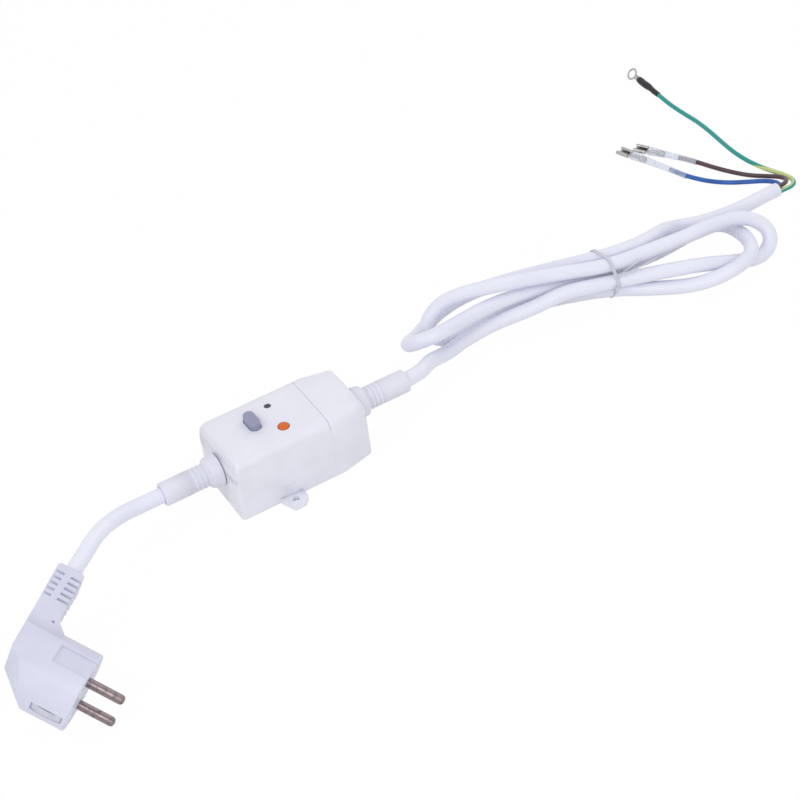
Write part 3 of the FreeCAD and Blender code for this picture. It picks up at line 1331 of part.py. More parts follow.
def earth_link_points():
    """Route of the earth core below the board to the middle terminal."""
    return [
        (-CORD_INNER_END, 0, CORD_AXIS_HEIGHT - 1.7),
        (1.7 - CORD_INNER_END, 0, CORD_AXIS_HEIGHT - 1.7),
        (BOARD_X[0] - 2.0, 0, CORD_AXIS_HEIGHT - 4.7),
        (BOARD_X[0] - 1.9, 0, 11.0),
        (BOARD_X[0] - 1.6, 0, 5.3),
        (-18.0, 0, 4.9),
        (-4.0, 0, 5.0),
        (7.0, 0, 4.9),
        (BLOCK_X[0] - 3.5, 0, 5.8),
        (BLOCK_X[0] - 0.4, 0, TERMINAL_AXIS),
        (BLOCK_X[0] + 3.0, 0, TERMINAL_AXIS + 0.02),
    ]


def sensed_core_points(side):
    """Route of a live conductor from the board through the ring core to its terminal."""
    y = side * 1.6
    z = BOARD_BOTTOM + BOARD_THICKNESS + TOROID_RADIUS
    pole = side * POLE_PITCH
    return [
        (4.6, y, BOARD_BOTTOM + BOARD_THICKNESS + 0.03),
        (4.7, y, 13.4),
        (4.75, y, z),
        (BLOCK_X[0] - 3.6, y, z - 0.1),
        (BLOCK_X[0] - 1.7, side * 4.6, 14.6),
        (BLOCK_X[0] - 1.25, side * 7.6, 11.0),
        (BLOCK_X[0] - 1.2, pole, TERMINAL_AXIS),
        (BLOCK_X[0] + 3.0, pole, TERMINAL_AXIS + 0.02),
    ]


def fit_inner_wiring(nodes):
    """Cores inside the housing, from sheath to board, ring core and terminals."""
    nodes["plug_side_cores"] = Part.makeCompound(
        [tube("plug_side_cores", plug_core_points(k), INNER_CORE_DIAMETER)[0] for k in (-1, 1)]
    )
    nodes["heater_side_cores"] = Part.makeCompound(
        [tube("heater_side_cores", heater_core_points(k), INNER_CORE_DIAMETER)[0] for k in (-1, 0, 1)]
    )
    nodes["earth_link"] = tube("earth_link", earth_link_points(), INNER_CORE_DIAMETER)[0]
    nodes["sensed_conductors"] = Part.makeCompound(
        [tube("sensed_conductors", sensed_core_points(s), SENSED_CORE_DIAMETER)[0] for s in (-1, 1)]
    )


def make_board_components():
    """Chip, capacitor and resistor on the board."""
    top = BOARD_BOTTOM + BOARD_THICKNESS
    chip = box((-10.0, 2.8, top), (-1.6, 6.8, top + 2.2))
    capacitor = rod((1.9, 4.6, top), (1.9, 4.6, top + 7.0), 2.2)
    resistor_y = BOARD_HALF_WIDTH - 1.5
    resistor = rod((5.4, resistor_y, top + 0.9), (11.4, resistor_y, top + 0.9), 0.9)
    return Part.makeCompound([chip, capacitor, resistor])


def make_test_contact():
    """Contact stud beneath the test button."""
    low = GUIDE_PLATE_HEIGHT + GUIDE_PLATE_THICKNESS
    return rod((TEST_X, TEST_Y, low), (TEST_X, TEST_Y, low + 0.3), 1.2)


def make_all():
    """Build each piece and write it to its own file."""
    os.makedirs("parts", exist_ok=True)
    nodes = {}
    nodes["housing_base"] = make_base()
    nodes["top_cover"] = make_top_cover()
    nodes["terminal_lid"] = cover_shell(LID_SEAM + SIDE_SEAM_GAP, HOUSING_LENGTH, LID_BOSSES)
    nodes["plug_side_gland"] = gland(-1)
    nodes["heater_side_gland"] = gland(1)
    for side, name in ((-1, "plug_side_cord_clamp"), (1, "heater_side_cord_clamp")):
        low, high = clamp_span(side)
        bar_low = CORD_AXIS_HEIGHT + FIT
        bar = box((low, -CLAMP_HALF_WIDTH, bar_low), (high, CLAMP_HALF_WIDTH, bar_low + CLAMP_BAR_HEIGHT))
        bar = bar.cut(bore_x(low - 1, high + 1, CORD_RADIUS + 0.05))
        for s in (-1, 1):
            hole = (side * CLAMP_X, s * CLAMP_SCREW_Y)
            bar = bar.cut(rod(hole + (bar_low - 1,), hole + (bar_low + CLAMP_BAR_HEIGHT + 1,),
                              SCREW_RADIUS + 0.2))
        nodes[name] = bar
    nodes["cord_clamp_screws"] = Part.makeCompound([
        screw(side * CLAMP_X, s * CLAMP_SCREW_Y, clamp_screw_head(), CLAMP_SCREW_LENGTH, False)
        for side in (-1, 1)
        for s in (-1, 1)
    ])
    nodes["cover_screws"] = Part.makeCompound([
        screw(x, y, COUNTERBORE_DEPTH - SCREW_HEAD, COVER_SCREW_LENGTH - 2, True)
        for x, y in COVER_BOSSES + LID_BOSSES
    ])
    inner_wall = HOUSING_LENGTH / 2 - WALL - 0.1 - GLAND_FLANGE
    nodes["plug_side_sheath_end"] = bore_x(-inner_wall, -CORD_INNER_END, CORD_RADIUS)
    nodes["heater_side_sheath_end"] = bore_x(CORD_INNER_END, inner_wall, CORD_RADIUS)
    nodes["reset_button"] = make_reset_button()
    nodes["test_button"] = make_test_button()
    plate_top = GUIDE_PLATE_HEIGHT + GUIDE_PLATE_THICKNESS
    flange_low = HOUSING_HEIGHT - WALL - CROWN - FIT - RESET_FLANGE
    spring_points = coil_points(RESET_X, RESET_Y, plate_top + SPRING_ROOM, flange_low - SPRING_ROOM,
                                RESET_STEM_RADIUS + 0.4)
    nodes["reset_spring"] = tube("reset_spring", spring_points, SPRING_WIRE)[0]
    test_flange_low = HOUSING_HEIGHT - WALL - CROWN - FIT - TEST_FLANGE
    test_points = coil_points(TEST_X, TEST_Y, plate_top + SPRING_ROOM, test_flange_low - SPRING_ROOM,
                              TEST_STEM_RADIUS + 0.5)
    nodes["test_spring"] = tube("test_spring", test_points, SPRING_WIRE)[0]
    nodes["indicator_lens"] = make_lens()
    nodes["indicator_lamp"] = make_lamp()
    nodes["circuit_board"] = make_board()
    nodes["guide_frame"] = make_guide_frame()
    nodes["contact_carrier"] = make_carrier()
    nodes["moving_contacts"] = Part.makeCompound([contact_strip(s, CARRIER_TOP) for s in (-1, 1)])
    nodes["fixed_contacts"] = Part.makeCompound([fixed_contact(s) for s in (-1, 1)])
    nodes["trip_coil"] = make_coil()
    nodes["coil_frame"] = make_coil_frame()
    nodes["trip_latch"] = make_latch()
    nodes["latch_pin"] = rod(
        (LATCH_PIVOT_X, COIL_Y - 2.9, LATCH_PIVOT_HEIGHT),
        (LATCH_PIVOT_X, COIL_Y + 2.9, LATCH_PIVOT_HEIGHT),
        LATCH_PIN_RADIUS,
    )
    nodes["trip_plunger"] = make_plunger()
    nodes["current_transformer"] = make_toroid()
    nodes["terminal_block"] = make_terminal_block()
    nodes["terminal_clamps"] = terminal_clamps()
    nodes["terminal_screws"] = terminal_screws()
    nodes["plug_body"] = on_plug(make_plug_body())
    nodes["upper_plug_pin"] = on_plug(make_pin(-1))
    nodes["lower_plug_pin"] = on_plug(make_pin(1))
    nodes["outer_earth_contact"] = on_plug(make_earth_strip(-1))
    nodes["inner_earth_contact"] = on_plug(make_earth_strip(1))
    exit_point = plug_frame().multVec(Vector(NECK_END - 0.6, -NECK_AXIS, 0))
    exit_ahead = plug_frame().multVec(Vector(NECK_END + 11.0, -NECK_AXIS, 0))
    plug_route = [tuple(exit_point), tuple(exit_ahead)] + PLUG_CORD_POINTS
    plug_route.append((-CORD_START, 0.0, CORD_AXIS_HEIGHT))
    nodes["plug_cord"] = tube("plug_cord", plug_route, CORD_DIAMETER)[0]
    waist_start = (WAIST_X,) + WAIST["first"]
    hank = [waist_start]
    for loop in LOOPS:
        hank += loop_points(*loop)
    first_join = halfway(LEAD_POINTS[-1], hank[0])
    last_join = halfway(hank[-1], TAIL_POINTS[0])
    nodes["heater_cord_lead"] = tube("heater_cord_lead", LEAD_POINTS + [first_join], CORD_DIAMETER)[0]
    hank_points = [first_join] + hank + [last_join]
    nodes["heater_cord_hank"], hank_path = tube("heater_cord_hank", hank_points, CORD_DIAMETER)
    nodes["heater_cord_tail"] = tube("heater_cord_tail", [last_join] + TAIL_POINTS, CORD_DIAMETER)[0]
    nodes["twist_tie"] = make_tie(hank_path)
    fit_conductors(nodes)
    fit_inner_wiring(nodes)
    nodes["board_components"] = make_board_components()
    nodes["test_contact"] = make_test_contact()
    whole = route_path(LEAD_POINTS + hank + TAIL_POINTS)[0]
    gap = least_gap(whole, CORD_DIAMETER)
    print("heater cord length", round(whole.Length, 1), "least gap", round(gap, 2))
    for name, shape in nodes.items():
        save(name, shape)


make_all()
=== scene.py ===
"""Looks of a power cord with an in-line residual current device.

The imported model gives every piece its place. This file lays the cords on their routes, models the
soft and thin pieces, gives each piece its finish, and sets the studio and the camera.
All sizes in the classes are millimetres, and meshes are made in metres.
"""

import json
import logging
import math
from dataclasses import dataclass, field
from enum import Enum
from typing import Dict, Iterable, List, Optional, Sequence, Tuple, Union

import bmesh
import bpy
from mathutils import Matrix, Vector

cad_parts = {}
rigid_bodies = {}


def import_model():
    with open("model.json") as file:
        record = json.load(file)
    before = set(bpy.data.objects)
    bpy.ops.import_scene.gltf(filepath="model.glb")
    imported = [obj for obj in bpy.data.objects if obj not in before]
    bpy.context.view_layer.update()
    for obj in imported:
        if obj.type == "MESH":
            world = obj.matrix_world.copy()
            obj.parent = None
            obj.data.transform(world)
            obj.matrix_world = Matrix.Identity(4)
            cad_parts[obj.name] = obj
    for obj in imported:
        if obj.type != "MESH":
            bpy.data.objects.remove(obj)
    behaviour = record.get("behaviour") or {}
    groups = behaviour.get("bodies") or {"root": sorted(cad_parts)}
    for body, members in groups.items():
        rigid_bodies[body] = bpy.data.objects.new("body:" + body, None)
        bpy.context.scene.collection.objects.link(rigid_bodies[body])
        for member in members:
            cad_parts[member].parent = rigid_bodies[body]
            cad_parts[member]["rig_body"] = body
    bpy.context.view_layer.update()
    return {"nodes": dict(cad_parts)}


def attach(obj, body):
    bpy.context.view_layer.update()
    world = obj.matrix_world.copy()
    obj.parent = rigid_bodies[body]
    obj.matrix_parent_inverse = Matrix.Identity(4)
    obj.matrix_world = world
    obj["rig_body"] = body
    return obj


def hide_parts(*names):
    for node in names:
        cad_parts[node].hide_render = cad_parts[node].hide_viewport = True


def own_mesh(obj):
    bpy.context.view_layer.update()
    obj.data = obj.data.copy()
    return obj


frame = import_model()

LOG = logging.getLogger("power_cord")
MM = 0.001
PICTURE_WIDTH = 800
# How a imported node's mesh is joined, flattened, rounded and shaded, and how fine a drawn section is
MERGE_MM = 0.002
FLAT_DEGREES = 0.4
BEVEL_DEGREES = 40.0
SHADE_DEGREES = 30.0
SECTION_CORNERS = 32

Colour = Tuple[float, float, float]
Point = Tuple[float, float, float]
Value = Union[float, "Signal"]
Piece = bpy.types.Object
Station = Tuple[float, float, float, float, float]


class Grain(Enum):
    """Kinds of fine surface relief."""

    SMOOTH = "smooth"
    SPARK = "spark"


class Signal:
    """A shader socket that takes part in Python expressions."""

    def __init__(self, bench: "Bench", socket: Optional[bpy.types.NodeSocket]) -> None:
        """Wrap one output socket.

        Args:
            bench: The material that the socket belongs to.
            socket: The output socket, or None for a node that ends a tree.
        """
        self.bench = bench
        self.socket = socket

    def _with(self, operation: str, other: Optional[Value] = None, swapped: bool = False) -> "Signal":
        """Add one Math node.

        Args:
            operation: Name of the node's operation.
            other: Second value, where the operation has one.
            swapped: Whether this signal is the second value.

        Returns:
            The node's result.
        """
        values = [self] if other is None else [self, other]
        if swapped:
            values.reverse()
        inputs = {i: value for i, value in enumerate(values)}
        return self.bench.node("ShaderNodeMath", {"operation": operation}, inputs)

    def __add__(self, other: Value) -> "Signal":
        """Sum."""
        return self._with("ADD", other)

    __radd__ = __add__

    def __mul__(self, other: Value) -> "Signal":
        """Product."""
        return self._with("MULTIPLY", other)

    __rmul__ = __mul__

    def __sub__(self, other: Value) -> "Signal":
        """Difference."""
        return self._with("SUBTRACT", other)

    def __rsub__(self, other: Value) -> "Signal":
        """Difference with this signal taken away."""
        return self._with("SUBTRACT", other, swapped=True)

    def sine(self) -> "Signal":
        """Sine of an angle in radians."""
        return self._with("SINE")

    def cosine(self) -> "Signal":
        """Cosine of an angle in radians."""
        return self._with("COSINE")

    def span(self, low: float, high: float) -> "Signal":
        """Go smoothly from 0 at low to 1 at high.

        Args:
            low: Value that gives 0.
            high: Value that gives 1.

        Returns:
            The eased signal, from 0 to 1.
        """
        settings = {"interpolation_type": "SMOOTHSTEP"}
        inputs = {"Value": self, "From Min": low, "From Max": high}
        return self.bench.node("ShaderNodeMapRange", settings, inputs)


class Bench:
    """A material in the making, with its node tree."""

    def __init__(self, owner: Union[bpy.types.Material, bpy.types.World]) -> None:
        """Start with an empty tree.

        Args:
            owner: The material or the world that the nodes belong to.
        """
        owner.use_nodes = True
        self.owner = owner
        self.tree = owner.node_tree
        self.tree.nodes.clear()
        self._place: Optional[bpy.types.Node] = None

    def node(
        self,
        kind: str,
        settings: Optional[dict] = None,
        inputs: Optional[dict] = None,
        output: Union[int, str] = 0,
    ) -> Signal:
        """Add any node.

        Args:
            kind: Blender's type name.
            settings: The node's own settings, set before its sockets.
            inputs: Values or signals by socket name or number.
            output: Socket to return.

        Returns:
            The chosen output.
        """
        made = self.tree.nodes.new(kind)
        for key, value in (settings or {}).items():
            setattr(made, key, value)
        for key, value in (inputs or {}).items():
            socket = made.inputs[key]
            if isinstance(value, Signal):
                self.tree.links.new(value.socket, socket)
            elif isinstance(value, tuple) and len(value) == 3 and socket.type == "RGBA":
                socket.default_value = (*value, 1.0)
            else:
                socket.default_value = value
        return Signal(self, made.outputs[output] if len(made.outputs) else None)

    def coordinates(self, output: str = "Object") -> Signal:
        """Give the piece's own coordinates.

        Args:
            output: Object for places, Normal for directions.

        Returns:
            The vector.
        """
        if self._place is None:
            self._place = self.tree.nodes.new("ShaderNodeTexCoord")
        return Signal(self, self._place.outputs[output])

    def axes(self, vector: Signal) -> Tuple[Signal, Signal, Signal]:
        """Split a vector into its three numbers."""
        parts = self.node("ShaderNodeSeparateXYZ", None, {0: vector})
        return tuple(Signal(self, socket) for socket in parts.socket.node.outputs)

    def noise(self, per_mm: float, detail: float = 2.0, stretch: Point = (1.0, 1.0, 1.0)) -> Signal:
        """Soft random pattern.

        Args:
            per_mm: How many features fit in a millimetre.
            detail: Levels of finer detail.
            stretch: Scale of the pattern along each axis.

        Returns:
            The pattern, from 0 to 1.
        """
        place = self.coordinates()
        if stretch != (1.0, 1.0, 1.0):
            place = self.node("ShaderNodeMapping", None, {"Vector": place, "Scale": stretch})
        inputs = {"Vector": place, "Scale": per_mm / MM, "Detail": detail}
        return self.node("ShaderNodeTexNoise", None, inputs)

    def mix(self, share: Value, first: Union[Colour, Signal], second: Union[Colour, Signal]) -> Signal:
        """Blend two colours.

        Args:
            share: Share of the second colour.
            first: Colour at 0.
            second: Colour at 1.

        Returns:
            The blended colour.
        """
        inputs = {0: share, 6: first, 7: second}
        return self.node("ShaderNodeMix", {"data_type": "RGBA"}, inputs, output=2)

    def relief(self, height: Signal, depth_mm: float, strength: float = 1.0) -> Signal:
        """Turn a height pattern into a bumped normal.

        Args:
            height: The pattern.
            depth_mm: Depth of the relief where the pattern goes from 0 to 1.
            strength: Share of the effect.

        Returns:
            The normal.
        """
        inputs = {"Height": height, "Distance": depth_mm * MM, "Strength": strength}
        return self.node("ShaderNodeBump", None, inputs)

    def close(self, inputs: dict) -> bpy.types.Material:
        """End the material with the main shader.

        Args:
            inputs: Values or signals of the shader's sockets.

        Returns:
            The material.
        """
        surface = self.node("ShaderNodeBsdfPrincipled", None, inputs)
        self.node("ShaderNodeOutputMaterial", None, {"Surface": surface})
        return self.owner


@dataclass(frozen=True)
class Moulding:
    """Moulded plastic or rubber, with a fine skin and slightly uneven tone."""

    colour: Colour
    roughness: float = 0.42
    tone: float = 0.03
    grain: Grain = Grain.SPARK
    grain_depth: float = 0.012
    grain_per_mm: float = 2.2
    scuff: float = 0.05

    def material(self, name: str) -> bpy.types.Material:
        """Make the material.

        Args:
            name: Its name.

        Returns:
            The material.
        """
        bench = Bench(bpy.data.materials.new(name))
        broad = bench.noise(per_mm=0.045, detail=3.0)
        fine = bench.noise(self.grain_per_mm, detail=3.0)
        darker = tuple(c * (1.0 - 2.2 * self.tone) for c in self.colour)
        colour = bench.mix(broad.span(0.3, 0.75), self.colour, darker)
        worn = bench.noise(per_mm=0.35, detail=5.0).span(0.62, 0.8)
        roughness = self.roughness + self.scuff * worn + 0.04 * (fine - 0.5)
        inputs = {"Base Color": colour, "Roughness": roughness, "IOR": 1.46}
        if self.grain is not Grain.SMOOTH:
            inputs["Normal"] = bench.relief(fine, self.grain_depth)
        return bench.close(inputs)


@dataclass(frozen=True)
class Sheath:
    """Extruded cord sheath, with a faint draw along its length and soft undulation."""

    colour: Colour
    shade: Colour
    roughness: float = 0.38

    def material(self, name: str) -> bpy.types.Material:
        """Make the material.

        Args:
            name: Its name.

        Returns:
            The material.
        """
        bench = Bench(bpy.data.materials.new(name))
        broad = bench.noise(per_mm=0.03, detail=2.0)
        ripple = bench.noise(per_mm=0.16, detail=2.0)
        fine = bench.noise(per_mm=1.6, detail=3.0)
        colour = bench.mix(broad.span(0.35, 0.7), self.colour, self.shade)
        height = 0.75 * ripple + 0.25 * fine
        roughness = self.roughness + 0.1 * (fine - 0.5) + 0.08 * (ripple - 0.5)
        return bench.close({
            "Base Color": colour,
            "Roughness": roughness,
            "IOR": 1.5,
            "Normal": bench.relief(height, depth_mm=0.06, strength=0.6),
        })


@dataclass(frozen=True)
class Metal:
    """Plated or brushed metal, with fine lines along one axis and dull patches."""

    colour: Colour
    tarnish: Colour
    roughness: float = 0.3
    lines: Point = (1.0, 1.0, 1.0)
    line_depth: float = 0.01

    def material(self, name: str) -> bpy.types.Material:
        """Make the material.

        Args:
            name: Its name.

        Returns:
            The material.
        """
        bench = Bench(bpy.data.materials.new(name))
        lines = bench.noise(per_mm=1.4, detail=4.0, stretch=self.lines)
        patches = bench.noise(per_mm=0.4, detail=4.0).span(0.45, 0.8)
        colour = bench.mix(patches * 0.6, self.colour, self.tarnish)
        roughness = self.roughness + 0.15 * patches + 0.12 * (lines - 0.5)
        return bench.close({
            "Base Color": colour,
            "Metallic": 1.0,
            "Roughness": roughness,
            "Normal": bench.relief(lines, self.line_depth),
        })


@dataclass(frozen=True)
class Core:
    """Coloured insulation of one conductor."""

    colour: Colour
    shade: Colour
    roughness: float = 0.3

    def material(self, name: str) -> bpy.types.Material:
        """Make the material.

        Args:
            name: Its name.

        Returns:
            The material.
        """
        bench = Bench(bpy.data.materials.new(name))
        fine = bench.noise(per_mm=3.0, detail=2.0)
        return bench.close({
            "Base Color": self._tint(bench),
            "Roughness": self.roughness + 0.12 * (fine - 0.5),
            "Normal": bench.relief(fine, depth_mm=0.02),
        })

    def _tint(self, bench: Bench) -> Signal:
        """Give the slightly uneven colour."""
        broad = bench.noise(per_mm=0.12, detail=3.0)
        return bench.mix(broad.span(0.3, 0.7), self.colour, self.shade)


@dataclass(frozen=True)
class StripedCore(Core):
    """Two-coloured insulation, whose stripe turns from the upper to the lower side past the first bend."""

    turn_from_mm: float = 48.0
    turn_to_mm: float = 70.0
    start: float = 2.3
    sweep: float = 3.0
    half_width: float = 0.5
    edge: float = 0.12

    def _tint(self, bench: Bench) -> Signal:
        """Give the first colour, and the second where the side faces the stripe's way.

        Args:
            bench: The material in the making.

        Returns:
            The colour.
        """
        _, along, _ = bench.axes(bench.coordinates())
        across, _, upward = bench.axes(bench.coordinates("Normal"))
        turned = along.span(self.turn_from_mm * MM, self.turn_to_mm * MM)
        angle = turned * self.sweep + self.start
        facing = across * angle.cosine() + upward * angle.sine()
        mask = facing.span(self.half_width, self.half_width + self.edge)
        return bench.mix(mask, self.colour, self.shade)


@dataclass(frozen=True)
class Clear:
    """Clear or milky film that lets light through."""

    colour: Colour
    alpha: float
    roughness: float = 0.2
    wrinkle_depth: float = 0.05

    def material(self, name: str) -> bpy.types.Material:
        """Make the material.

        Args:
            name: Its name.

        Returns:
            The material.
        """
        bench = Bench(bpy.data.materials.new(name))
        folds = bench.noise(per_mm=0.3, detail=3.0)
        fine = bench.noise(per_mm=1.5, detail=3.0)
        darker = tuple(0.93 * c for c in self.colour)
        return bench.close({
            "Base Color": bench.mix(folds.span(0.4, 0.7), self.colour, darker),
            "Roughness": self.roughness + 0.15 * (fine - 0.5),
            "Alpha": self.alpha + 0.08 * (folds.span(0.35, 0.75) - 0.5),
            "IOR": 1.45,
            "Normal": bench.relief(folds, self.wrinkle_depth),
        })


Finish = Union[Moulding, Sheath, Metal, Core, Clear]

WHITE_SHELL = Moulding((0.765, 0.772, 0.858), roughness=0.36, grain_depth=0.006)
GLAND_RUBBER = Moulding((0.72, 0.725, 0.82), roughness=0.46, grain_depth=0.01)
PLUG_PLASTIC = Moulding((0.64, 0.65, 0.785), roughness=0.4, grain_depth=0.008)
RESET_GREY = Moulding((0.3, 0.31, 0.45), roughness=0.4, grain_depth=0.006, tone=0.05)
TEST_ORANGE = Moulding((0.66, 0.125, 0.008), roughness=0.45, grain_depth=0.006, tone=0.06)
CLAMP_NYLON = Moulding((0.72, 0.71, 0.67), roughness=0.5)
CARRIER_BLACK = Moulding((0.05, 0.05, 0.055), roughness=0.45)
BOARD_GREEN = Moulding((0.03, 0.17, 0.08), roughness=0.4, tone=0.1)
COMPONENT_BLACK = Moulding((0.03, 0.03, 0.033), roughness=0.5)
COIL_LACQUER = Moulding((0.42, 0.15, 0.05), roughness=0.3, tone=0.12)
LAMP_RED = Moulding((0.55, 0.03, 0.02), roughness=0.2)
LENS_SMOKE = Moulding((0.05, 0.055, 0.075), roughness=0.12, grain=Grain.SMOOTH)
SHRINK_BLACK = Moulding((0.008, 0.008, 0.014), roughness=0.4, grain_depth=0.05, grain_per_mm=0.9)
CORD_WHITE = Sheath((0.78, 0.79, 0.9), (0.74, 0.75, 0.87))
PIN_NICKEL = Metal((0.26, 0.21, 0.22), (0.045, 0.036, 0.04), roughness=0.33, lines=(1.0, 1.0, 0.25))
STRIP_NICKEL = Metal((0.62, 0.63, 0.72), (0.4, 0.4, 0.48), roughness=0.34)
TERMINAL_TIN = Metal((0.46, 0.45, 0.44), (0.16, 0.15, 0.15), roughness=0.28)
STEEL_ZINC = Metal((0.62, 0.62, 0.62), (0.4, 0.4, 0.42), roughness=0.35)
STEEL_BRIGHT = Metal((0.56, 0.56, 0.58), (0.36, 0.36, 0.37), roughness=0.25)
CONTACT_BRASS = Metal((0.72, 0.5, 0.22), (0.4, 0.26, 0.12), roughness=0.3)
CORE_BLUE = Core((0.007, 0.1, 0.42), (0.006, 0.075, 0.33))
CORE_BROWN = Core((0.085, 0.04, 0.05), (0.055, 0.026, 0.036))
CORE_EARTH = StripedCore((0.006, 0.29, 0.26), (0.56, 0.64, 0.24))
SLEEVE_CLEAR = Clear((0.8, 0.84, 0.95), 0.32, wrinkle_depth=0.02)
TIE_CLEAR = Clear((0.62, 0.64, 0.72), 0.96, roughness=0.3)

FINISHED_NODES = (
    (WHITE_SHELL, ("housing_base", "top_cover", "terminal_lid")),
    (GLAND_RUBBER, ("plug_side_gland", "heater_side_gland")),
    (CLAMP_NYLON, ("plug_side_cord_clamp", "heater_side_cord_clamp", "guide_frame", "terminal_block")),
    (STEEL_ZINC, ("cord_clamp_screws", "cover_screws", "coil_frame", "trip_latch", "terminal_screws")),
    (STEEL_BRIGHT, ("reset_spring", "test_spring", "latch_pin", "trip_plunger")),
    (CONTACT_BRASS, ("moving_contacts", "fixed_contacts", "test_contact", "terminal_clamps")),
    (CORD_WHITE, ("plug_side_sheath_end", "heater_side_sheath_end")),
    (RESET_GREY, ("reset_button",)),
    (TEST_ORANGE, ("test_button",)),
    (LENS_SMOKE, ("indicator_lens",)),
    (LAMP_RED, ("indicator_lamp",)),
    (BOARD_GREEN, ("circuit_board",)),
    (COMPONENT_BLACK, ("board_components", "current_transformer")),
    (CARRIER_BLACK, ("contact_carrier",)),
    (COIL_LACQUER, ("trip_coil",)),
    (CORE_BLUE, ("plug_side_cores",)),
    (CORE_BROWN, ("heater_side_cores", "sensed_conductors")),
    (CORE_EARTH, ("earth_link",)),
    (PLUG_PLASTIC, ("plug_body",)),
    (PIN_NICKEL, ("upper_plug_pin", "lower_plug_pin")),
    (STRIP_NICKEL, ("outer_earth_contact", "inner_earth_contact")),
    (TERMINAL_TIN, ("live_receptacle", "neutral_receptacle", "earth_ring_terminal")),
    (SLEEVE_CLEAR, ("live_sleeve", "neutral_sleeve")),
    (SHRINK_BLACK, ("earth_heat_shrink",)),
    (TIE_CLEAR, ("twist_tie",)),
)
PLUG_NODES = (
    "plug_body", "upper_plug_pin", "lower_plug_pin", "outer_earth_contact", "inner_earth_contact",
)
NODE_FINISH = {node: finish for finish, nodes in FINISHED_NODES for node in nodes}


MATERIALS: Dict[Finish, bpy.types.Material] = {}


def dress(piece: Piece, finish: Finish) -> None:
    """Give a piece one finish all over, whose material is made on first use.

    Args:
        piece: The piece.
        finish: One of the finishes above.
    """
    if finish not in MATERIALS:
        MATERIALS[finish] = finish.material(piece.name + "_finish")
    piece.data.materials.clear()
    piece.data.materials.append(MATERIALS[finish])


def node_body(node: str) -> str:
    """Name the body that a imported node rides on."""
    return frame["nodes"][node]["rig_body"]


def stand_for(piece: Piece, node: str, *others: str) -> None:
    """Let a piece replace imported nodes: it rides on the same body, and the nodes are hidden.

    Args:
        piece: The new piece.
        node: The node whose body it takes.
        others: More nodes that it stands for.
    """
    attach(piece, node_body(node))
    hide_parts(node, *others)
    LOG.info("piece %s stands for %s", piece.name, ", ".join((node,) + others))


def link(name: str, data: bpy.types.ID) -> Piece:
    """Put new data in the scene as an object.

    Args:
        name: Name of the object.
        data: Its mesh, curve, camera or lamp.

    Returns:
        The object, at the origin.
    """
    made = bpy.data.objects.new(name, data)
    bpy.context.scene.collection.objects.link(made)
    return made


def settled(name: str, shape: bmesh.types.BMesh) -> Piece:
    """Turn a finished bmesh into an object, and free it.

    Args:
        name: Name of the object.
        shape: The bmesh.

    Returns:
        The object.
    """
    mesh = bpy.data.meshes.new(name)
    shape.to_mesh(mesh)
    shape.free()
    return link(name, mesh)


def smooth(mesh: bpy.types.Mesh, degrees: float) -> None:
    """Shade a mesh smooth, with edges sharper than the angle kept."""
    mesh.polygons.foreach_set("use_smooth", [True] * len(mesh.polygons))
    mesh.set_sharp_from_angle(angle=math.radians(degrees))


def bevelled(shape: bmesh.types.BMesh, edges: Iterable[bmesh.types.BMEdge], width_mm: float) -> None:
    """Round edges in two steps.

    Args:
        shape: The bmesh.
        edges: Its edges to round.
        width_mm: Width of the rounding.
    """
    bmesh.ops.bevel(
        shape, geom=list(edges), offset=width_mm * MM, offset_type="OFFSET", segments=2, profile=0.5,
        affect="EDGES", clamp_overlap=True, material=-1)


@dataclass(frozen=True)
class EndRounding:
    """Soft fall of the housing's top towards one of its ends."""

    side: float
    radius: float = 3.2
    end_at_top: float = 38.4
    slope: float = 0.131
    top: float = 37.0
    fade_from: float = 28.5
    fade_to: float = 35.0
    cuts: Sequence[float] = (0.12, 0.28, 0.44, 0.6, 0.74, 0.85, 0.93, 0.98)
    merge: float = 0.001

    def apply(self, shape: bmesh.types.BMesh) -> None:
        """Cut the shell across near its end, and lower the corners beyond the start of the fall.

        Args:
            shape: The shell.
        """
        begin = self.end_at_top - self.radius
        for share in self.cuts:
            spot = Vector((self.side * (begin + self.radius * share), 0.0, 0.0)) * MM
            bmesh.ops.bisect_plane(
                shape, geom=[*shape.verts, *shape.edges, *shape.faces], dist=self.merge * MM, plane_co=spot,
                plane_no=(1.0, 0.0, 0.0))
        for corner in shape.verts:
            x, z = self.side * corner.co.x / MM, corner.co.z / MM
            end = self.end_at_top + self.slope * (self.top - min(z, self.top))
            beyond = min(max(x - (end - self.radius), 0.0), self.radius)
            fade = min(max((z - self.fade_from) / (self.fade_to - self.fade_from), 0.0), 1.0)
            fall = self.radius - math.sqrt(self.radius ** 2 - beyond ** 2)
            corner.co.z -= fall * fade * fade * (3.0 - 2.0 * fade) * MM


def refined(node: str, name: str, round_mm: float = 0.0, rounding: Optional[EndRounding] = None) -> Piece:
    """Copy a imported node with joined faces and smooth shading.

    Args:
        node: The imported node.
        name: Name of the new piece.
        round_mm: Width of the rounding of its sharp edges, or 0 for none.
        rounding: How the shell falls off at its end, if it does.

    Returns:
        The new piece.
    """
    shape = bmesh.new()
    shape.from_mesh(frame["nodes"][node].data)
    bmesh.ops.remove_doubles(shape, verts=shape.verts, dist=MERGE_MM * MM)
    bmesh.ops.dissolve_limit(
        shape, angle_limit=math.radians(FLAT_DEGREES), use_dissolve_boundaries=False, verts=shape.verts,
        edges=shape.edges)
    if rounding:
        rounding.apply(shape)
    if round_mm:
        bevelled(shape, [
            edge for edge in shape.edges
            if len(edge.link_faces) == 2 and edge.calc_face_angle(0.0) > math.radians(BEVEL_DEGREES)
        ], round_mm)
    piece = settled(name, shape)
    smooth(piece.data, SHADE_DEGREES)
    return piece


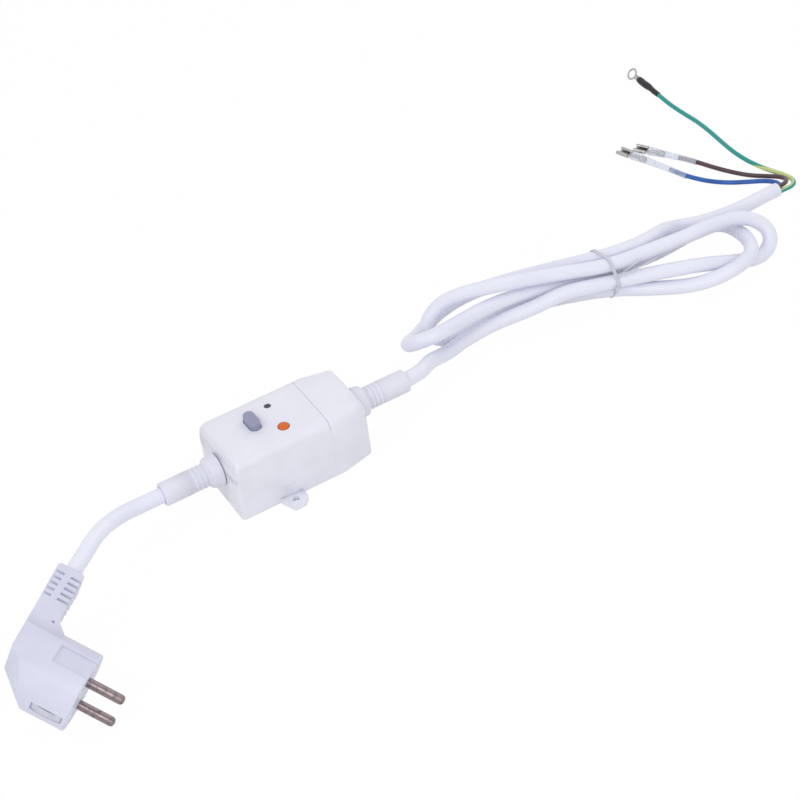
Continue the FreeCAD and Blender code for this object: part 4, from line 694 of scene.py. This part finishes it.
def scaled(points: Iterable[Sequence[float]]) -> List[Vector]:
    """Points in metres from points in millimetres."""
    return [Vector(point) * MM for point in points]


def strung(curve: bpy.types.Curve, points: Sequence[Vector]) -> bpy.types.Spline:
    """Give a curve one smooth spline from end to end.

    Args:
        curve: The curve.
        points: Control points in metres.

    Returns:
        The spline.
    """
    spline = curve.splines.new("NURBS")
    spline.points.add(len(points) - 1)
    for spot, point in zip(spline.points, points):
        spot.co = (*point, 1.0)
    spline.order_u = 3
    spline.use_endpoint_u = True
    return spline


def line_curve(name: str, points: Sequence[Vector], diameter_mm: float) -> Piece:
    """Round cord on one smooth spline.

    Args:
        name: Name of the piece.
        points: Control points in metres.
        diameter_mm: The cord's diameter.

    Returns:
        The curve object.
    """
    curve = bpy.data.curves.new(name, "CURVE")
    curve.dimensions = "3D"
    # Each point's radius is the cord's own, which keeps the curve's box true
    curve.bevel_depth = 1.0
    curve.bevel_resolution = 6
    curve.resolution_u = 10
    curve.use_fill_caps = True
    for spot in strung(curve, points).points:
        spot.radius = diameter_mm / 2 * MM
    return link(name, curve)


def drawn(name: str, stations: Sequence[Station], place: Matrix, closed: bool = True) -> Piece:
    """Draw an oval section along +X through stations.

    Args:
        name: Name of the piece.
        stations: Distance along, half width, half height, and how far the middle lies to the side and up.
        place: Placement of the piece, in metres.
        closed: Whether both ends get a face.

    Returns:
        The piece.
    """
    shape = bmesh.new()
    upright = Matrix.Rotation(math.pi / 2, 4, "Y")
    bmesh.ops.create_circle(shape, cap_ends=False, segments=SECTION_CORNERS, radius=1.0, matrix=upright)
    spots = []
    for along, wide, high, aside, lift in stations:
        middle = Matrix.Translation(Vector((along, aside, lift)) * MM)
        spots.append(middle @ Matrix.Diagonal((1.0, wide * MM, high * MM, 1.0)))
    bmesh.ops.transform(shape, matrix=spots[0], verts=shape.verts)
    rim = list(shape.edges)
    for before, here in zip(spots, spots[1:]):
        grown = bmesh.ops.extrude_edge_only(shape, edges=rim)["geom"]
        corners = [part for part in grown if isinstance(part, bmesh.types.BMVert)]
        rim = [part for part in grown if isinstance(part, bmesh.types.BMEdge)]
        bmesh.ops.transform(shape, matrix=here @ before.inverted(), verts=corners)
    if closed:
        bmesh.ops.holes_fill(shape, edges=shape.edges, sides=SECTION_CORNERS)
    bmesh.ops.recalc_face_normals(shape, faces=shape.faces)
    bmesh.ops.transform(shape, matrix=place, verts=shape.verts)
    piece = settled(name, shape)
    smooth(piece.data, degrees=50.0)
    return piece


def laid(start: Point, toward: Tuple[float, float]) -> Matrix:
    """Place a piece that is drawn along +X at a start point, turned to a heading on the table.

    Args:
        start: Where the piece's own zero goes.
        toward: Point on the table that it heads for.

    Returns:
        The placement in metres.
    """
    heading = math.atan2(toward[1] - start[1], toward[0] - start[0])
    return Matrix.Translation(Vector(start) * MM) @ Matrix.Rotation(heading, 4, "Z")


@dataclass
class View:
    """Camera at the photograph's viewpoint."""

    turn: float = -26.06
    tilt: float = 41.48
    roll: float = -7.53
    place: Point = (-277.64, -706.67, 705.10)
    focal_pixels: float = 1959.21
    sensor_mm: float = 36.0

    def build(self) -> None:
        """Add the camera and make it the scene's own."""
        turn, tilt, roll = (math.radians(v) for v in (self.turn, self.tilt, self.roll))
        level = Vector((math.cos(turn), math.sin(turn), 0.0))
        ahead = Vector(
            (-math.sin(turn) * math.cos(tilt), math.cos(turn) * math.cos(tilt), -math.sin(tilt)))
        above = level.cross(ahead)
        right = level * math.cos(roll) + above * math.sin(roll)
        up = above * math.cos(roll) - level * math.sin(roll)
        camera = bpy.data.cameras.new("photograph_view")
        camera.sensor_width = self.sensor_mm
        camera.lens = self.focal_pixels / PICTURE_WIDTH * self.sensor_mm
        camera.clip_start = 0.05
        camera.clip_end = 20.0
        holder = link("photograph_view", camera)
        turned = Matrix((right, up, -ahead)).transposed().to_4x4()
        holder.matrix_world = Matrix.Translation(Vector(self.place) * MM) @ turned
        bpy.context.scene.camera = holder
        LOG.info("camera set")


@dataclass
class Studio:
    """Pale floor, white surround and soft lamps."""

    floor_half: float = 2500.0
    floor_tone: float = 0.86
    floor_glow: float = 0.98
    surround: float = 0.78
    lamp_target: Point = (60.0, 20.0, 0.0)
    # Name, place, width of the face and power
    lamps: Sequence[Tuple[str, Point, float, float]] = (
        ("front_lamp", (-300.0, -860.0, 760.0), 500.0, 2.6),
        ("left_lamp", (-760.0, -60.0, 1000.0), 500.0, 2.0),
        ("right_lamp", (900.0, 300.0, 700.0), 700.0, 1.2),
    )

    def build(self) -> None:
        """Add the floor, the surround and the lamps."""
        self._floor()
        self._world()
        for name, place, size, watts in self.lamps:
            self._lamp(name, place, size, watts)
        bpy.context.scene.view_settings.view_transform = "Standard"

    def _floor(self) -> None:
        """Add the floor, which shows near white and keeps the shadow."""
        shape = bmesh.new()
        bmesh.ops.create_grid(shape, x_segments=2, y_segments=2, size=self.floor_half * MM)
        floor = settled("studio_floor", shape)
        bench = Bench(bpy.data.materials.new("studio_floor_paint"))
        tone = (self.floor_tone,) * 3
        paint = bench.node("ShaderNodeBsdfDiffuse", None, {"Color": tone})
        glow = bench.node("ShaderNodeEmission", None, {"Color": (1.0, 1.0, 1.0), "Strength": 1.0})
        share = self._seen(bench) * self.floor_glow
        both = bench.node("ShaderNodeMixShader", None, {0: share, 1: paint, 2: glow})
        bench.node("ShaderNodeOutputMaterial", None, {"Surface": both})
        floor.data.materials.append(bench.owner)

    def _seen(self, bench: Bench) -> Signal:
        """Tell rays that show the background from rays that light the object.

        Args:
            bench: The material or world in the making.

        Returns:
            1 for a ray that shows the background, and 0 for the others.
        """
        first = bench.node("ShaderNodeLightPath", None, None, "Is Camera Ray")
        paths = first.socket.node.outputs
        glossy = Signal(bench, paths["Is Glossy Ray"])
        through = Signal(bench, paths["Is Transmission Ray"])
        settings = {"operation": "ADD", "use_clamp": True}
        return bench.node("ShaderNodeMath", settings, {0: first + glossy, 1: through})

    def _world(self) -> None:
        """Light the scene evenly, with a white background."""
        world = bpy.data.worlds.new("studio_surround")
        bpy.context.scene.world = world
        bench = Bench(world)
        strength = self._seen(bench) * (1.0 - self.surround) + self.surround
        light = bench.node("ShaderNodeBackground", None, {"Color": (1.0, 1.0, 1.0), "Strength": strength})
        bench.node("ShaderNodeOutputWorld", None, {"Surface": light})

    def _lamp(self, name: str, place: Point, size: float, watts: float) -> None:
        """Add one square soft lamp, turned to the target.

        Args:
            name: Its name.
            place: Where it stands.
            size: Width of its face.
            watts: Its power.
        """
        lamp = bpy.data.lights.new(name, "AREA")
        lamp.shape = "SQUARE"
        lamp.size = size * MM
        lamp.energy = watts
        aim = (Vector(self.lamp_target) - Vector(place)).to_track_quat("-Z", "Y")
        turned = aim.to_matrix().to_4x4()
        link(name, lamp).matrix_world = Matrix.Translation(Vector(place) * MM) @ turned


@dataclass
class PlugPose:
    """Where the angled plug lies: A along its neck, B along its pins, C from pin to pin."""

    face: Point = (-159.39, -93.78, 18.45)
    heading: float = -51.25
    dip: float = 25.5
    roll: float = 3.6

    def matrix(self) -> Matrix:
        """Work out the placement.

        Returns:
            What carries plug axes in metres into the object's axes.
        """
        heading, dip, roll = (math.radians(v) for v in (self.heading, self.dip, self.roll))
        pins = Vector(
            (math.cos(dip) * math.cos(heading), math.cos(dip) * math.sin(heading), -math.sin(dip)))
        upright = Vector(
            (math.sin(dip) * math.cos(heading), math.sin(dip) * math.sin(heading), math.cos(dip)))
        sideways = upright.cross(pins)
        up = upright * math.cos(roll) + sideways * math.sin(roll)
        neck = up.cross(pins)
        turned = Matrix((neck, pins, -up)).transposed().to_4x4()
        return Matrix.Translation(Vector(self.face) * MM) @ turned


@dataclass
class Cords:
    """The two sheathed cords: plug to housing, and housing to the cut end with its hank."""

    diameter: float = 8.4
    axis_height: float = 21.3
    start_x: float = 71.8
    neck_end: float = 54.9
    neck_axis: float = 35.0
    neck_straight: float = 11.0
    neck_overlap: float = 0.6
    waist_x: float = 214.0
    waist_y: float = 8.0
    waist_pitch: float = 9.4
    points_per_loop: int = 12
    tie_thickness: float = 0.8
    tie_room: float = 0.15
    floor_gap: float = 0.1
    plug_points: Sequence[Point] = ((-112.0, -11.4, 28.8), (-96.0, -2.0, 23.5), (-83.0, 0.0, 21.3))
    lead_points: Sequence[Point] = (
        (71.8, 0.0, 21.3), (82.0, 0.0, 21.3), (94.0, 10.8, 16.2), (108.0, 18.1, 8.5), (124.0, 21.7, 9.2),
        (145.0, 24.0, 8.7), (166.0, 17.9, 11.9), (184.0, 14.2, 16.7), (198.0, 10.7, 15.8),
    )
    tail_points: Sequence[Point] = (
        (229.0, 20.6, 20.8), (244.0, 18.7, 21.4), (260.0, 24.3, 18.4), (277.0, 35.0, 6.3),
        (294.0, 30.4, 4.5), (311.0, 28.0, 4.6), (326.0, 27.4, 4.6), (338.0, 28.6, 4.6),
        (347.5, 28.6, 4.6),
    )
    # Strands that a loop leaves and joins, its side and reach, and its course sideways and in height
    loops: Sequence[Tuple[str, str, int, float, Tuple[float, ...], Tuple[float, ...]]] = (
        ("first", "second", 1, 96.6, (-9.9, -17.3, -9.8, 2.0, 6.3), (13.6, 5.3, 13.8, 23.5, 23.0)),
        ("second", "lowest", -1, 107.8, (29.0, 35.0, 33.5, 29.7, 32.2), (26.6, 30.0, 17.1, 4.4, 5.5)),
        ("lowest", "third", 1, 84.1, (-15.2, -24.2, 5.9, 18.0, 21.6), (5.0, 17.7, 12.2, 12.5, 6.3)),
        ("third", "last", -1, 123.3, (29.0, 16.3, 26.9, 45.9, 60.4), (17.4, 26.3, 18.2, 4.4, 4.4)),
    )
    pieces: Dict[str, Piece] = field(default_factory=dict)

    def waist(self) -> Dict[str, Tuple[float, float]]:
        """Place the corners of the strands' route at the tie.

        Returns:
            The sideways place and height by the strand's name.
        """
        pitch = self.waist_pitch
        rise = pitch * math.sqrt(3) / 2
        low = self.diameter / 2 + self.tie_thickness + 3 * self.tie_room
        return {
            "first": (self.waist_y, low + rise),
            "second": (self.waist_y + pitch / 2, low + 2 * rise),
            "lowest": (self.waist_y + pitch / 2, low),
            "third": (self.waist_y + pitch, low + rise),
            "last": (self.waist_y + 1.5 * pitch, low + 2 * rise),
        }

    def strands_at_tie(self) -> List[Tuple[float, float]]:
        """Find the strands where they pass the tie.

        Returns:
            The sideways place and height of each strand's middle.
        """
        route = (*self.lead_points, *self.hank_points(), *self.tail_points)
        points = [Vector(point) for point in route]
        spots = []
        for before, here, after in zip(points, points[1:], points[2:]):
            if here.x == self.waist_x:
                middle = (before + 6.0 * here + after) / 8.0
                spots.append((middle.y, middle.z))
        return spots

    def hank_points(self) -> List[Point]:
        """Follow the strands round every loop, from the tie back to the tie.

        Returns:
            The route's points.
        """
        waist = self.waist()
        points = [(self.waist_x, *waist["first"])]
        for leave, arrive, side, reach, ways, heights in self.loops:
            y_stations = [waist[leave][0], *ways, waist[arrive][0]]
            z_stations = [waist[leave][1], *heights, waist[arrive][1]]
            for k in range(1, self.points_per_loop):
                share = k / self.points_per_loop
                height = max(between(z_stations, share), self.diameter / 2 + self.floor_gap)
                reach_x = self.waist_x + side * reach * math.sin(math.pi * share)
                points.append((reach_x, between(y_stations, share), height))
            points.append((self.waist_x, *waist[arrive]))
        return points

    def build(self, plug: PlugPose) -> None:
        """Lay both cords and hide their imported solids.

        Args:
            plug: Where the plug lies.
        """
        route = scaled((*self.lead_points, *self.hank_points(), *self.tail_points))
        heater = line_curve("heater_cord", route, self.diameter)
        stand_for(heater, "heater_cord_hank", "heater_cord_lead", "heater_cord_tail")
        placed = plug.matrix()
        neck = [
            placed @ (Vector((a, -self.neck_axis, 0.0)) * MM)
            for a in (self.neck_end + self.neck_straight, self.neck_end - self.neck_overlap)
        ]
        gland = [Vector((-self.start_x, 0.0, self.axis_height)) * MM]
        points = gland + scaled(reversed(self.plug_points)) + neck
        short = line_curve("plug_cord_sheath", points, self.diameter)
        stand_for(short, "plug_cord")
        for cord in (heater, short):
            dress(cord, CORD_WHITE)
        self.pieces = {"heater": heater, "plug": short}


def between(stations: Sequence[float], share: float) -> float:
    """Pass smoothly through evenly spaced stations.

    Args:
        stations: Values at even steps.
        share: Place along them, from 0 to 1.

    Returns:
        The value there.
    """
    count = len(stations) - 1
    place = min(share * count, count - 1e-9)
    i = int(place)
    f = place - i
    ends = [2 * stations[0] - stations[1], *stations, 2 * stations[-1] - stations[-2]]
    a, b, c, d = ends[i:i + 4]
    bend = 2 * a - 5 * b + 4 * c - d
    twist = 3 * b - a - 3 * c + d
    return 0.5 * (2 * b + (c - a) * f + bend * f ** 2 + twist * f ** 3)


@dataclass
class Cores:
    """The three conductors beyond the cut sheath."""

    diameter: float = 2.8
    offset: float = 1.75
    sheath_end: Point = (347.5, 28.6, 4.6)
    live_straight: float = 4.0
    neutral_straight: float = 3.0
    earth_straight: float = 4.5
    live_run: Sequence[Point] = (
        (356.0, 30.4, 5.6), (358.8, 34.5, 4.4), (358.0, 40.0, 3.0), (353.5, 46.0, 2.0),
        (347.0, 53.0, 1.5), (341.0, 62.0, 1.5), (335.5, 72.5, 1.6), (330.5, 82.0, 2.4),
        (326.5, 89.0, 3.1), (323.8, 93.3, 3.1),
    )
    neutral_run: Sequence[Point] = (
        (353.6, 33.0, 3.2), (353.2, 38.0, 2.6), (349.0, 43.5, 2.0), (341.5, 49.0, 1.5),
        (332.0, 55.5, 1.5), (323.5, 64.0, 1.8), (317.0, 73.5, 2.6), (313.8, 80.5, 3.1),
        (312.2, 86.5, 3.1),
    )
    earth_run: Sequence[Point] = (
        (357.5, 27.4, 3.3), (362.0, 30.0, 2.5), (364.0, 35.5, 1.8), (362.5, 43.0, 1.5),
        (358.5, 52.0, 1.5), (355.5, 64.0, 1.5), (354.5, 77.5, 1.5), (355.5, 91.0, 1.5),
        (357.0, 105.0, 1.5), (357.6, 118.0, 1.5), (356.6, 131.0, 1.5), (355.3, 144.0, 2.3),
        (355.0, 155.0, 3.8), (355.2, 159.0, 3.8),
    )

    def starts(self) -> Dict[str, List[Point]]:
        """Start the cores side by side in the cut sheath.

        Returns:
            The first two points by the core's name.
        """
        x, y, z = self.sheath_end
        low = z - self.offset / 2
        side = self.offset * math.sqrt(3) / 2
        return {
            "live": [(x, y, z + self.offset), (x + self.live_straight, y, z + self.offset)],
            "neutral": [(x, y + side, low), (x + self.neutral_straight, y + side, low)],
            "earth": [(x, y - side, low), (x + self.earth_straight, y - side, low)],
        }

    def build(self) -> None:
        starts = self.starts()
        plans = (
            ("live", self.live_run, CORE_BROWN, 0.0829, ("live_receptacle", "live_sleeve")),
            ("neutral", self.neutral_run, CORE_BLUE, 0.0769, ("neutral_receptacle", "neutral_sleeve")),
            ("earth", self.earth_run, CORE_EARTH, 0.1459, ("earth_ring_terminal", "earth_heat_shrink")),
        )
        for name, run, finish, length, fittings in plans:
            points = scaled([*starts[name], *run])
            core = line_curve(name + "_core", points, self.diameter)
            dress(core, finish)
            stand_for(core, name + "_wire")


@dataclass
class Sleeves:
    """Clear sleeves over the two crimped receptacles, drawn in towards the wires."""

    back_reach: float = 12.0
    sag: float = 0.7
    receptacle_length: float = 8.2
    receptacle_bare: float = 1.0
    wall: float = 0.3
    # Wire, its end and the middle of its receptacle
    ends: Sequence[Tuple[str, Point, Tuple[float, float]]] = (
        ("live", (323.8, 93.3, 3.1), (311.4, 115.0)),
        ("neutral", (312.2, 86.5, 3.1), (301.6, 118.6)),
    )
    # Share of the length, half width and half height
    profile: Sequence[Point] = (
        (0.0, 1.7, 1.7), (0.04, 1.82, 1.8), (0.16, 1.8, 1.78), (0.28, 1.95, 1.88), (0.4, 2.05, 1.95),
        (0.52, 2.2, 2.05), (0.66, 2.45, 2.15), (0.8, 2.8, 2.3), (0.9, 3.0, 2.5), (1.0, 3.0, 2.6),
    )

    def build(self) -> None:
        """Make both sleeves, each from its wire's end towards the middle of its receptacle."""
        for name, end, target in self.ends:
            gap = math.hypot(target[0] - end[0], target[1] - end[1])
            front = gap - self.receptacle_length / 2 - self.receptacle_bare
            back = -self.back_reach
            stations = []
            for share, wide, high in self.profile:
                along = back + (front - back) * share
                drop = self.sag * (min(0.0, along) / back) ** 2
                stations.append((along, wide, high, 0.0, -drop))
            piece = drawn(name + "_sleeve_piece", stations, laid(end, target), closed=False)
            wall = piece.modifiers.new("wall", "SOLIDIFY")
            wall.thickness = self.wall * MM
            wall.offset = -1.0
            dress(piece, SLEEVE_CLEAR)
            stand_for(piece, name + "_sleeve")


@dataclass
class EarthEnd:
    """Ring terminal on the earth core, and the tubing shrunk over its barrel."""

    wire_end: Point = (355.2, 159.0, 3.8)
    ahead: Tuple[float, float] = (355.25, 160.0)
    tube_start: float = -3.5
    tube_end: float = 19.5
    eye_place: float = 27.2
    eye_hole: float = 2.65
    eye_reach: float = 4.0
    eye_thickness: float = 0.8
    neck_length: float = 3.6
    neck_width: float = 3.2
    edge_round: float = 0.25
    barrel_radius: float = 1.5
    barrel_length: float = 5.2
    barrel_middle: float = 5.4
    roll: float = -50.0
    tube_flatness: float = 0.93
    # Share of the length, half width and how far the middle lies aside
    tube_profile: Sequence[Point] = (
        (0.0, 1.55, 0.0), (0.012, 1.72, 0.0), (0.1, 1.75, 0.05), (0.2, 1.85, 0.1), (0.32, 1.78, 0.0),
        (0.42, 2.0, -0.1), (0.52, 2.3, -0.1), (0.62, 2.42, 0.05), (0.72, 2.3, 0.15), (0.82, 2.4, 0.1),
        (0.92, 2.25, 0.0), (0.985, 2.1, 0.0), (1.0, 1.8, 0.0),
    )

    def build(self) -> None:
        """Make the terminal and the tubing."""
        place = laid(self.wire_end, self.ahead)
        self._tubing(place)
        self._terminal(place)

    def _tubing(self, place: Matrix) -> None:
        """Make the lumpy tubing, widest over the barrel.

        Args:
            place: Placement of the wire's end.
        """
        run = self.tube_end - self.tube_start
        stations = [
            (self.tube_start + run * share, reach, self.tube_flatness * reach, aside, -0.5 * aside)
            for share, reach, aside in self.tube_profile]
        piece = drawn("earth_heat_shrink_piece", stations, place)
        dress(piece, SHRINK_BLACK)
        stand_for(piece, "earth_heat_shrink")

    def _terminal(self, place: Matrix) -> None:
        """Make the flat eye with its neck and barrel, stamped from one strip.

        Args:
            place: Placement of the wire's end.
        """
        shape = bmesh.new()
        half_wide = (self.eye_reach - self.eye_hole) / 2
        half = self.eye_thickness / 2
        section = Matrix.Translation(Vector((self.eye_hole + half_wide, 0.0, 0.0)) * MM)
        section = section @ Matrix.Diagonal((half_wide * MM, 1.0, half * MM, 1.0))
        section = section @ Matrix.Rotation(math.pi / 2, 4, "X")
        bmesh.ops.create_circle(shape, cap_ends=False, segments=12, radius=1.0, matrix=section)
        bmesh.ops.spin(
            shape, geom=shape.edges[:], cent=(0.0, 0.0, 0.0), axis=(0.0, 0.0, 1.0), angle=2 * math.pi,
            steps=48, use_merge=True)
        bmesh.ops.remove_doubles(shape, verts=shape.verts, dist=0.001 * MM)
        low, high = -self.eye_reach - self.neck_length, -self.eye_hole - half_wide
        neck = Matrix.Translation(Vector(((low + high) / 2, 0.0, 0.0)) * MM)
        neck = neck @ Matrix.Diagonal(
            ((high - low) * MM, self.neck_width * MM, self.eye_thickness * MM, 1.0))
        bar = bmesh.ops.create_cube(shape, size=1.0, matrix=neck)["verts"]
        edges = dict.fromkeys(edge for corner in bar for edge in corner.link_edges)
        bevelled(shape, edges, self.edge_round)
        barrel = Matrix.Translation(Vector((-self.eye_reach - self.barrel_middle, 0.0, 0.0)) * MM)
        radius = self.barrel_radius * MM
        bmesh.ops.create_cone(
            shape, cap_ends=True, segments=24, radius1=radius, radius2=radius,
            depth=self.barrel_length * MM, matrix=barrel @ Matrix.Rotation(math.pi / 2, 4, "Y"))
        bmesh.ops.recalc_face_normals(shape, faces=shape.faces)
        turned = Matrix.Translation(Vector((self.eye_place, 0.0, 0.0)) * MM)
        turned = place @ turned @ Matrix.Rotation(math.radians(self.roll), 4, "X")
        bmesh.ops.transform(shape, matrix=turned, verts=shape.verts)
        piece = settled("earth_ring_terminal_piece", shape)
        smooth(piece.data, degrees=40.0)
        dress(piece, TERMINAL_TIN)
        stand_for(piece, "earth_ring_terminal")


@dataclass
class Tie:
    """Flat tie round the waist of the hank, with a folded knot and two twisted tails."""

    width: float = 2.0
    thickness: float = 0.5
    room: float = 0.3
    steps: int = 96
    knot_place: Point = (-1.2, -0.5, -1.0)
    knot_bends: Sequence[Point] = (
        (0.9, 1.6, 1.6), (0.2, 0.2, 1.3), (-0.9, -0.7, 0.3), (-1.7, -0.3, -0.9), (-0.9, 0.6, -1.4),
        (0.6, 0.9, -0.8),
    )
    knot_twist: float = 0.5
    tail_width: float = 0.9
    tail_place: Point = (0.4, 1.2, 3.0)
    # Name, turn from one bend to the next in radians, and the bends
    tails: Sequence[Tuple[str, float, Sequence[Point]]] = (
        ("tie_tail_1", 1.0, ((0.0, 0.0, 0.0), (5.0, 0.2, 1.8), (10.0, -0.6, 3.9), (15.5, -1.4, 5.6))),
        ("tie_tail_2", 1.25, ((0.0, 0.0, 0.0), (6.5, -0.9, 0.4), (14.0, -2.3, 1.6), (24.0, -3.9, 4.2))),
    )

    def build(self, cords: Cords) -> List[Piece]:
        """Make the band, the knot and the tails.

        Args:
            cords: The cords whose hank the tie holds.

        Returns:
            All the tie's pieces.
        """
        centres = cords.strands_at_tie()
        reach = cords.diameter / 2 + self.room + self.thickness / 2
        middle = Vector((cords.waist_x, *min(centres)))
        knot = middle + Vector((0.0, -reach, 0.0)) + Vector(self.knot_place)
        root = middle + Vector((0.0, -0.87 * reach, 0.5 * reach)) + Vector(self.tail_place)
        pieces = [
            self._band(centres, reach, cords.waist_x),
            self._strip("tie_knot", self.width, 8, knot, self.knot_bends, self.knot_twist),
        ]
        for name, twist, bends in self.tails:
            pieces.append(self._strip(name, self.tail_width, 24, root, bends, twist))
        for piece in pieces:
            dress(piece, TIE_CLEAR)
            stand_for(piece, "twist_tie")
        return pieces

    def _flat_curve(self, name: str, width: float) -> bpy.types.Curve:
        """Start a curve that draws a flat strip.

        Args:
            name: Name of the curve.
            width: Width of the strip.

        Returns:
            The curve, without a spline.
        """
        curve = bpy.data.curves.new(name, "CURVE")
        curve.extrude = (width - self.thickness) / 2 * MM
        curve.bevel_depth = self.thickness / 2 * MM
        curve.bevel_resolution = 3
        return curve

    def _band(self, centres: Sequence[Tuple[float, float]], reach: float, x: float) -> Piece:
        """Make the band that runs taut round all the strands.

        Args:
            centres: Sideways place and height of each strand's middle.
            reach: How far the band's middle stays from them.
            x: Where the band is along the hank.

        Returns:
            The piece.
        """
        curve = self._flat_curve("tie_band_line", self.width)
        curve.dimensions = "2D"
        curve.fill_mode = "NONE"
        spline = curve.splines.new("POLY")
        spline.points.add(self.steps - 1)
        for k, spot in enumerate(spline.points):
            angle = 2 * math.pi * k / self.steps
            way = Vector((math.cos(angle), math.sin(angle)))
            far = max((Vector(centre) for centre in centres), key=lambda centre: centre.dot(way))
            spot.co = ((far.x + reach * way.x) * MM, (far.y + reach * way.y) * MM, 0.0, 1.0)
        spline.use_cyclic_u = True
        flat = link("tie_band_line", curve)
        mesh = bpy.data.meshes.new_from_object(flat.evaluated_get(bpy.context.evaluated_depsgraph_get()))
        bpy.data.objects.remove(flat)
        mesh.name = "twist_tie_piece"
        mesh.transform(Matrix(((0, 0, 1, x * MM), (1, 0, 0, 0), (0, 1, 0, 0), (0, 0, 0, 1))))
        smooth(mesh, degrees=50.0)
        return link("twist_tie_piece", mesh)

    def _strip(
        self, name: str, width: float, steps: int, root: Vector, bends: Sequence[Point], twist: float
    ) -> Piece:
        """Make one folded or twisted strip.

        Args:
            name: Name of the piece.
            width: Width of the strip.
            steps: How finely it is drawn between two bends.
            root: Where its bends are counted from.
            bends: Its bends.
            twist: Turn from one bend to the next, in radians.

        Returns:
            The piece.
        """
        curve = self._flat_curve(name, width)
        curve.dimensions = "3D"
        curve.resolution_u = steps
        spline = strung(curve, [(root + Vector(bend)) * MM for bend in bends])
        for i, spot in enumerate(spline.points):
            spot.tilt = twist * i
        return link(name, curve)


@dataclass
class Shells:
    """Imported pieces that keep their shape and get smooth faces, rounded edges and a finish."""

    rounding: Dict[str, EndRounding] = field(
        default_factory=lambda: {"top_cover": EndRounding(-1.0), "terminal_lid": EndRounding(1.0)})
    bevel: Dict[str, float] = field(default_factory=lambda: {"plug_body": 0.3})
    # Node, its button's joint and how far the button goes
    springs: Sequence[Tuple[str, str, float]] = (
        ("reset_spring", "reset_press", 2.5),
        ("test_spring", "test_press", 1.2),
    )
    spring_floor: float = 29.0
    shown: Sequence[str] = (
        "housing_base", "top_cover", "terminal_lid", "plug_side_gland", "heater_side_gland",
        "reset_button", "test_button", "indicator_lens", *PLUG_NODES, "live_receptacle",
        "neutral_receptacle",
    )

    def build(self) -> None:
        """Refine the pieces that show, and give every other node its finish."""
        for node in self.shown:
            piece = refined(node, node + "_piece", self.bevel.get(node, 0.0), self.rounding.get(node))
            dress(piece, NODE_FINISH[node])
            stand_for(piece, node)
        for node, joint, travel in self.springs:
            self._spring(node)
        done = {*self.shown, *(spring[0] for spring in self.springs)}
        for node, holder in frame["nodes"].items():
            if node in NODE_FINISH and node not in done:
                dress(holder, NODE_FINISH[node])
                LOG.info("node %s dressed", node)

    def _spring(self, node: str) -> None:
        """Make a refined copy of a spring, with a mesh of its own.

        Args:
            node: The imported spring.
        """
        piece = refined(node, node + "_piece")
        dress(piece, NODE_FINISH[node])
        stand_for(piece, node)
        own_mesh(piece)


def main() -> None:
    """Build everything in order."""
    logging.basicConfig(level=logging.INFO, format="%(name)s %(message)s")
    View().build()
    plug = PlugPose()
    cords = Cords()
    cords.build(plug)
    tie = Tie().build(cords)
    Shells().build()
    Sleeves().build()
    EarthEnd().build()
    Cores().build()
    Studio().build()
    bpy.context.view_layer.update()


if __name__ == "__main__":
    main()
